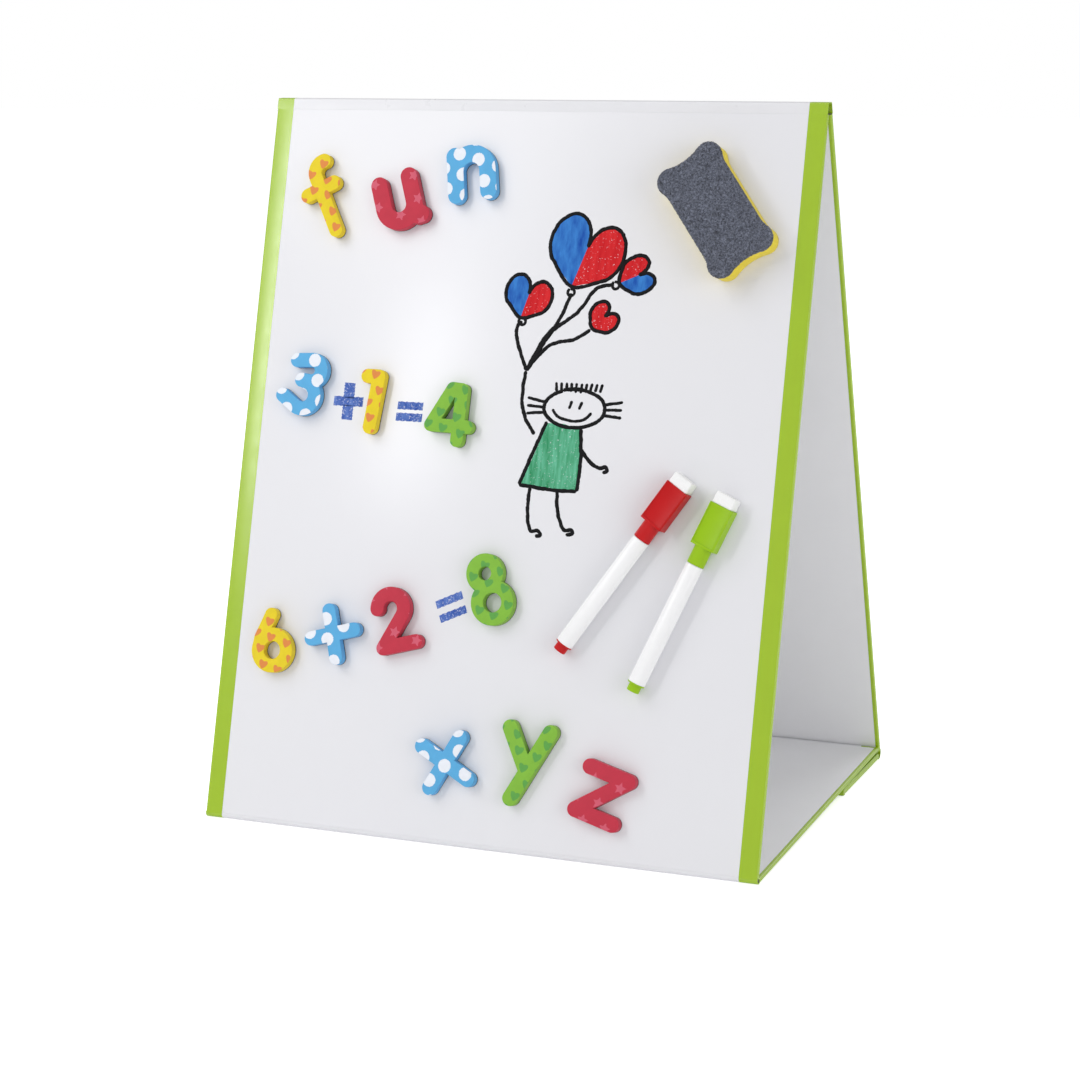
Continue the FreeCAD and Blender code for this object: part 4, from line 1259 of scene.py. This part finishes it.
def area_light(name, spot, aim, width, height, power):
    """A soft rectangular light aimed at a point."""
    lamp = bpy.data.lights.new(name, "AREA")
    lamp.shape = "RECTANGLE"
    lamp.size = width
    lamp.size_y = height
    lamp.energy = power
    holder = bpy.data.objects.new(name, lamp)
    scene.collection.objects.link(holder)
    holder.location = spot
    holder.rotation_euler = (Vector(aim) - Vector(spot)).to_track_quat("-Z", "Y").to_euler()
    return holder


def mirror_spot(point, distance):
    """Where a light has to stand for the camera to see it mirrored at a point of the film."""
    behind = CAMERA_SPOT - 2 * (CAMERA_SPOT - CORNER).dot(OUTWARD) * OUTWARD
    return point + distance * (point - behind).normalized()


glare = CORNER - 4 * MM * ACROSS + GLARE_HEIGHT * UP_BOARD
lights = [
    area_light("key", spot=(-1.4, -1.1, 2.2), aim=(0, 0, 0.25), width=1.6, height=1.6, power=23),
    area_light("fill", spot=(1.9, -0.8, 0.4), aim=(0, 0, 0.2), width=1.2, height=1.2, power=10),
    area_light("glare", spot=mirror_spot(glare, GLARE_DISTANCE), aim=glare, width=0.1,
               height=0.42, power=2.2),
    area_light("rear", spot=(0.5, 1.9, 1.2), aim=(0, 0, 0.2), width=1.2, height=1.2, power=9)]
floor_mesh = bmesh.new()
bmesh.ops.create_grid(floor_mesh, x_segments=1, y_segments=1, size=6)
floor_finish = surface("studio floor", "F6F6F7", 0.8, drift=0.01, patch=3.0, wave=5.0,
                       grain=300.0, share=0.05, depth=0.05 * MM,
                       Emission_Color=(1, 1, 1, 1))
glow = floor_finish.node_tree
lit = place(glow, "ShaderNodeLightPath").outputs["Is Camera Ray"]
glow_share = rescaled(glow, lit, new_low=FLOOR_LIGHTS, new_high=FLOOR_SEEN)
glow.links.new(glow_share, glow.nodes["Principled BSDF"].inputs["Emission Strength"])
floor = to_object("floor", floor_mesh, [floor_finish])
floor.location.z = FLOOR_LEVEL
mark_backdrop(floor, *lights)
print(len(lights), "lights, the glare strip at", [round(v, 2) for v in lights[2].location])

# %% [markdown]
# ## Camera
# The camera's heading, dip and roll are worked out into its three axes. A tracking constraint
# would keep it level, and this camera has a slight roll. The long lens keeps the easel's sides
# nearly parallel.

# %% Camera
HEADING = math.radians(22.753)
DIP = math.radians(12.476)
ROLL = math.radians(-0.833)
forward = Vector((-math.sin(HEADING) * math.cos(DIP), math.cos(HEADING) * math.cos(DIP),
                  -math.sin(DIP)))
level_right = Vector((math.cos(HEADING), math.sin(HEADING), 0))
level_up = level_right.cross(forward)
right = math.cos(ROLL) * level_right + math.sin(ROLL) * level_up
up = right.cross(forward)
lens = bpy.data.cameras.new("camera")
lens.lens = 87.96
lens.sensor_width = 36
lens.clip_start = 0.05
lens.clip_end = 20
camera = bpy.data.objects.new("camera", lens)
camera.matrix_world = axes(CAMERA_SPOT, right, up, -forward)
scene.collection.objects.link(camera)
scene.camera = camera
print("the camera stands", round((CAMERA_SPOT - CORNER).length, 2), "m from the board's corner")

# %% [markdown]
# ## Size and finish
# The box round the finished pieces is measured last and written down beside the CAD's, so that
# anyone can see that the soft edges and folds have not changed the size of the easel.

# %% Size and finish
low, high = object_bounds()
print("visual box", [round(v / MM, 1) for v in high - low], "mm")
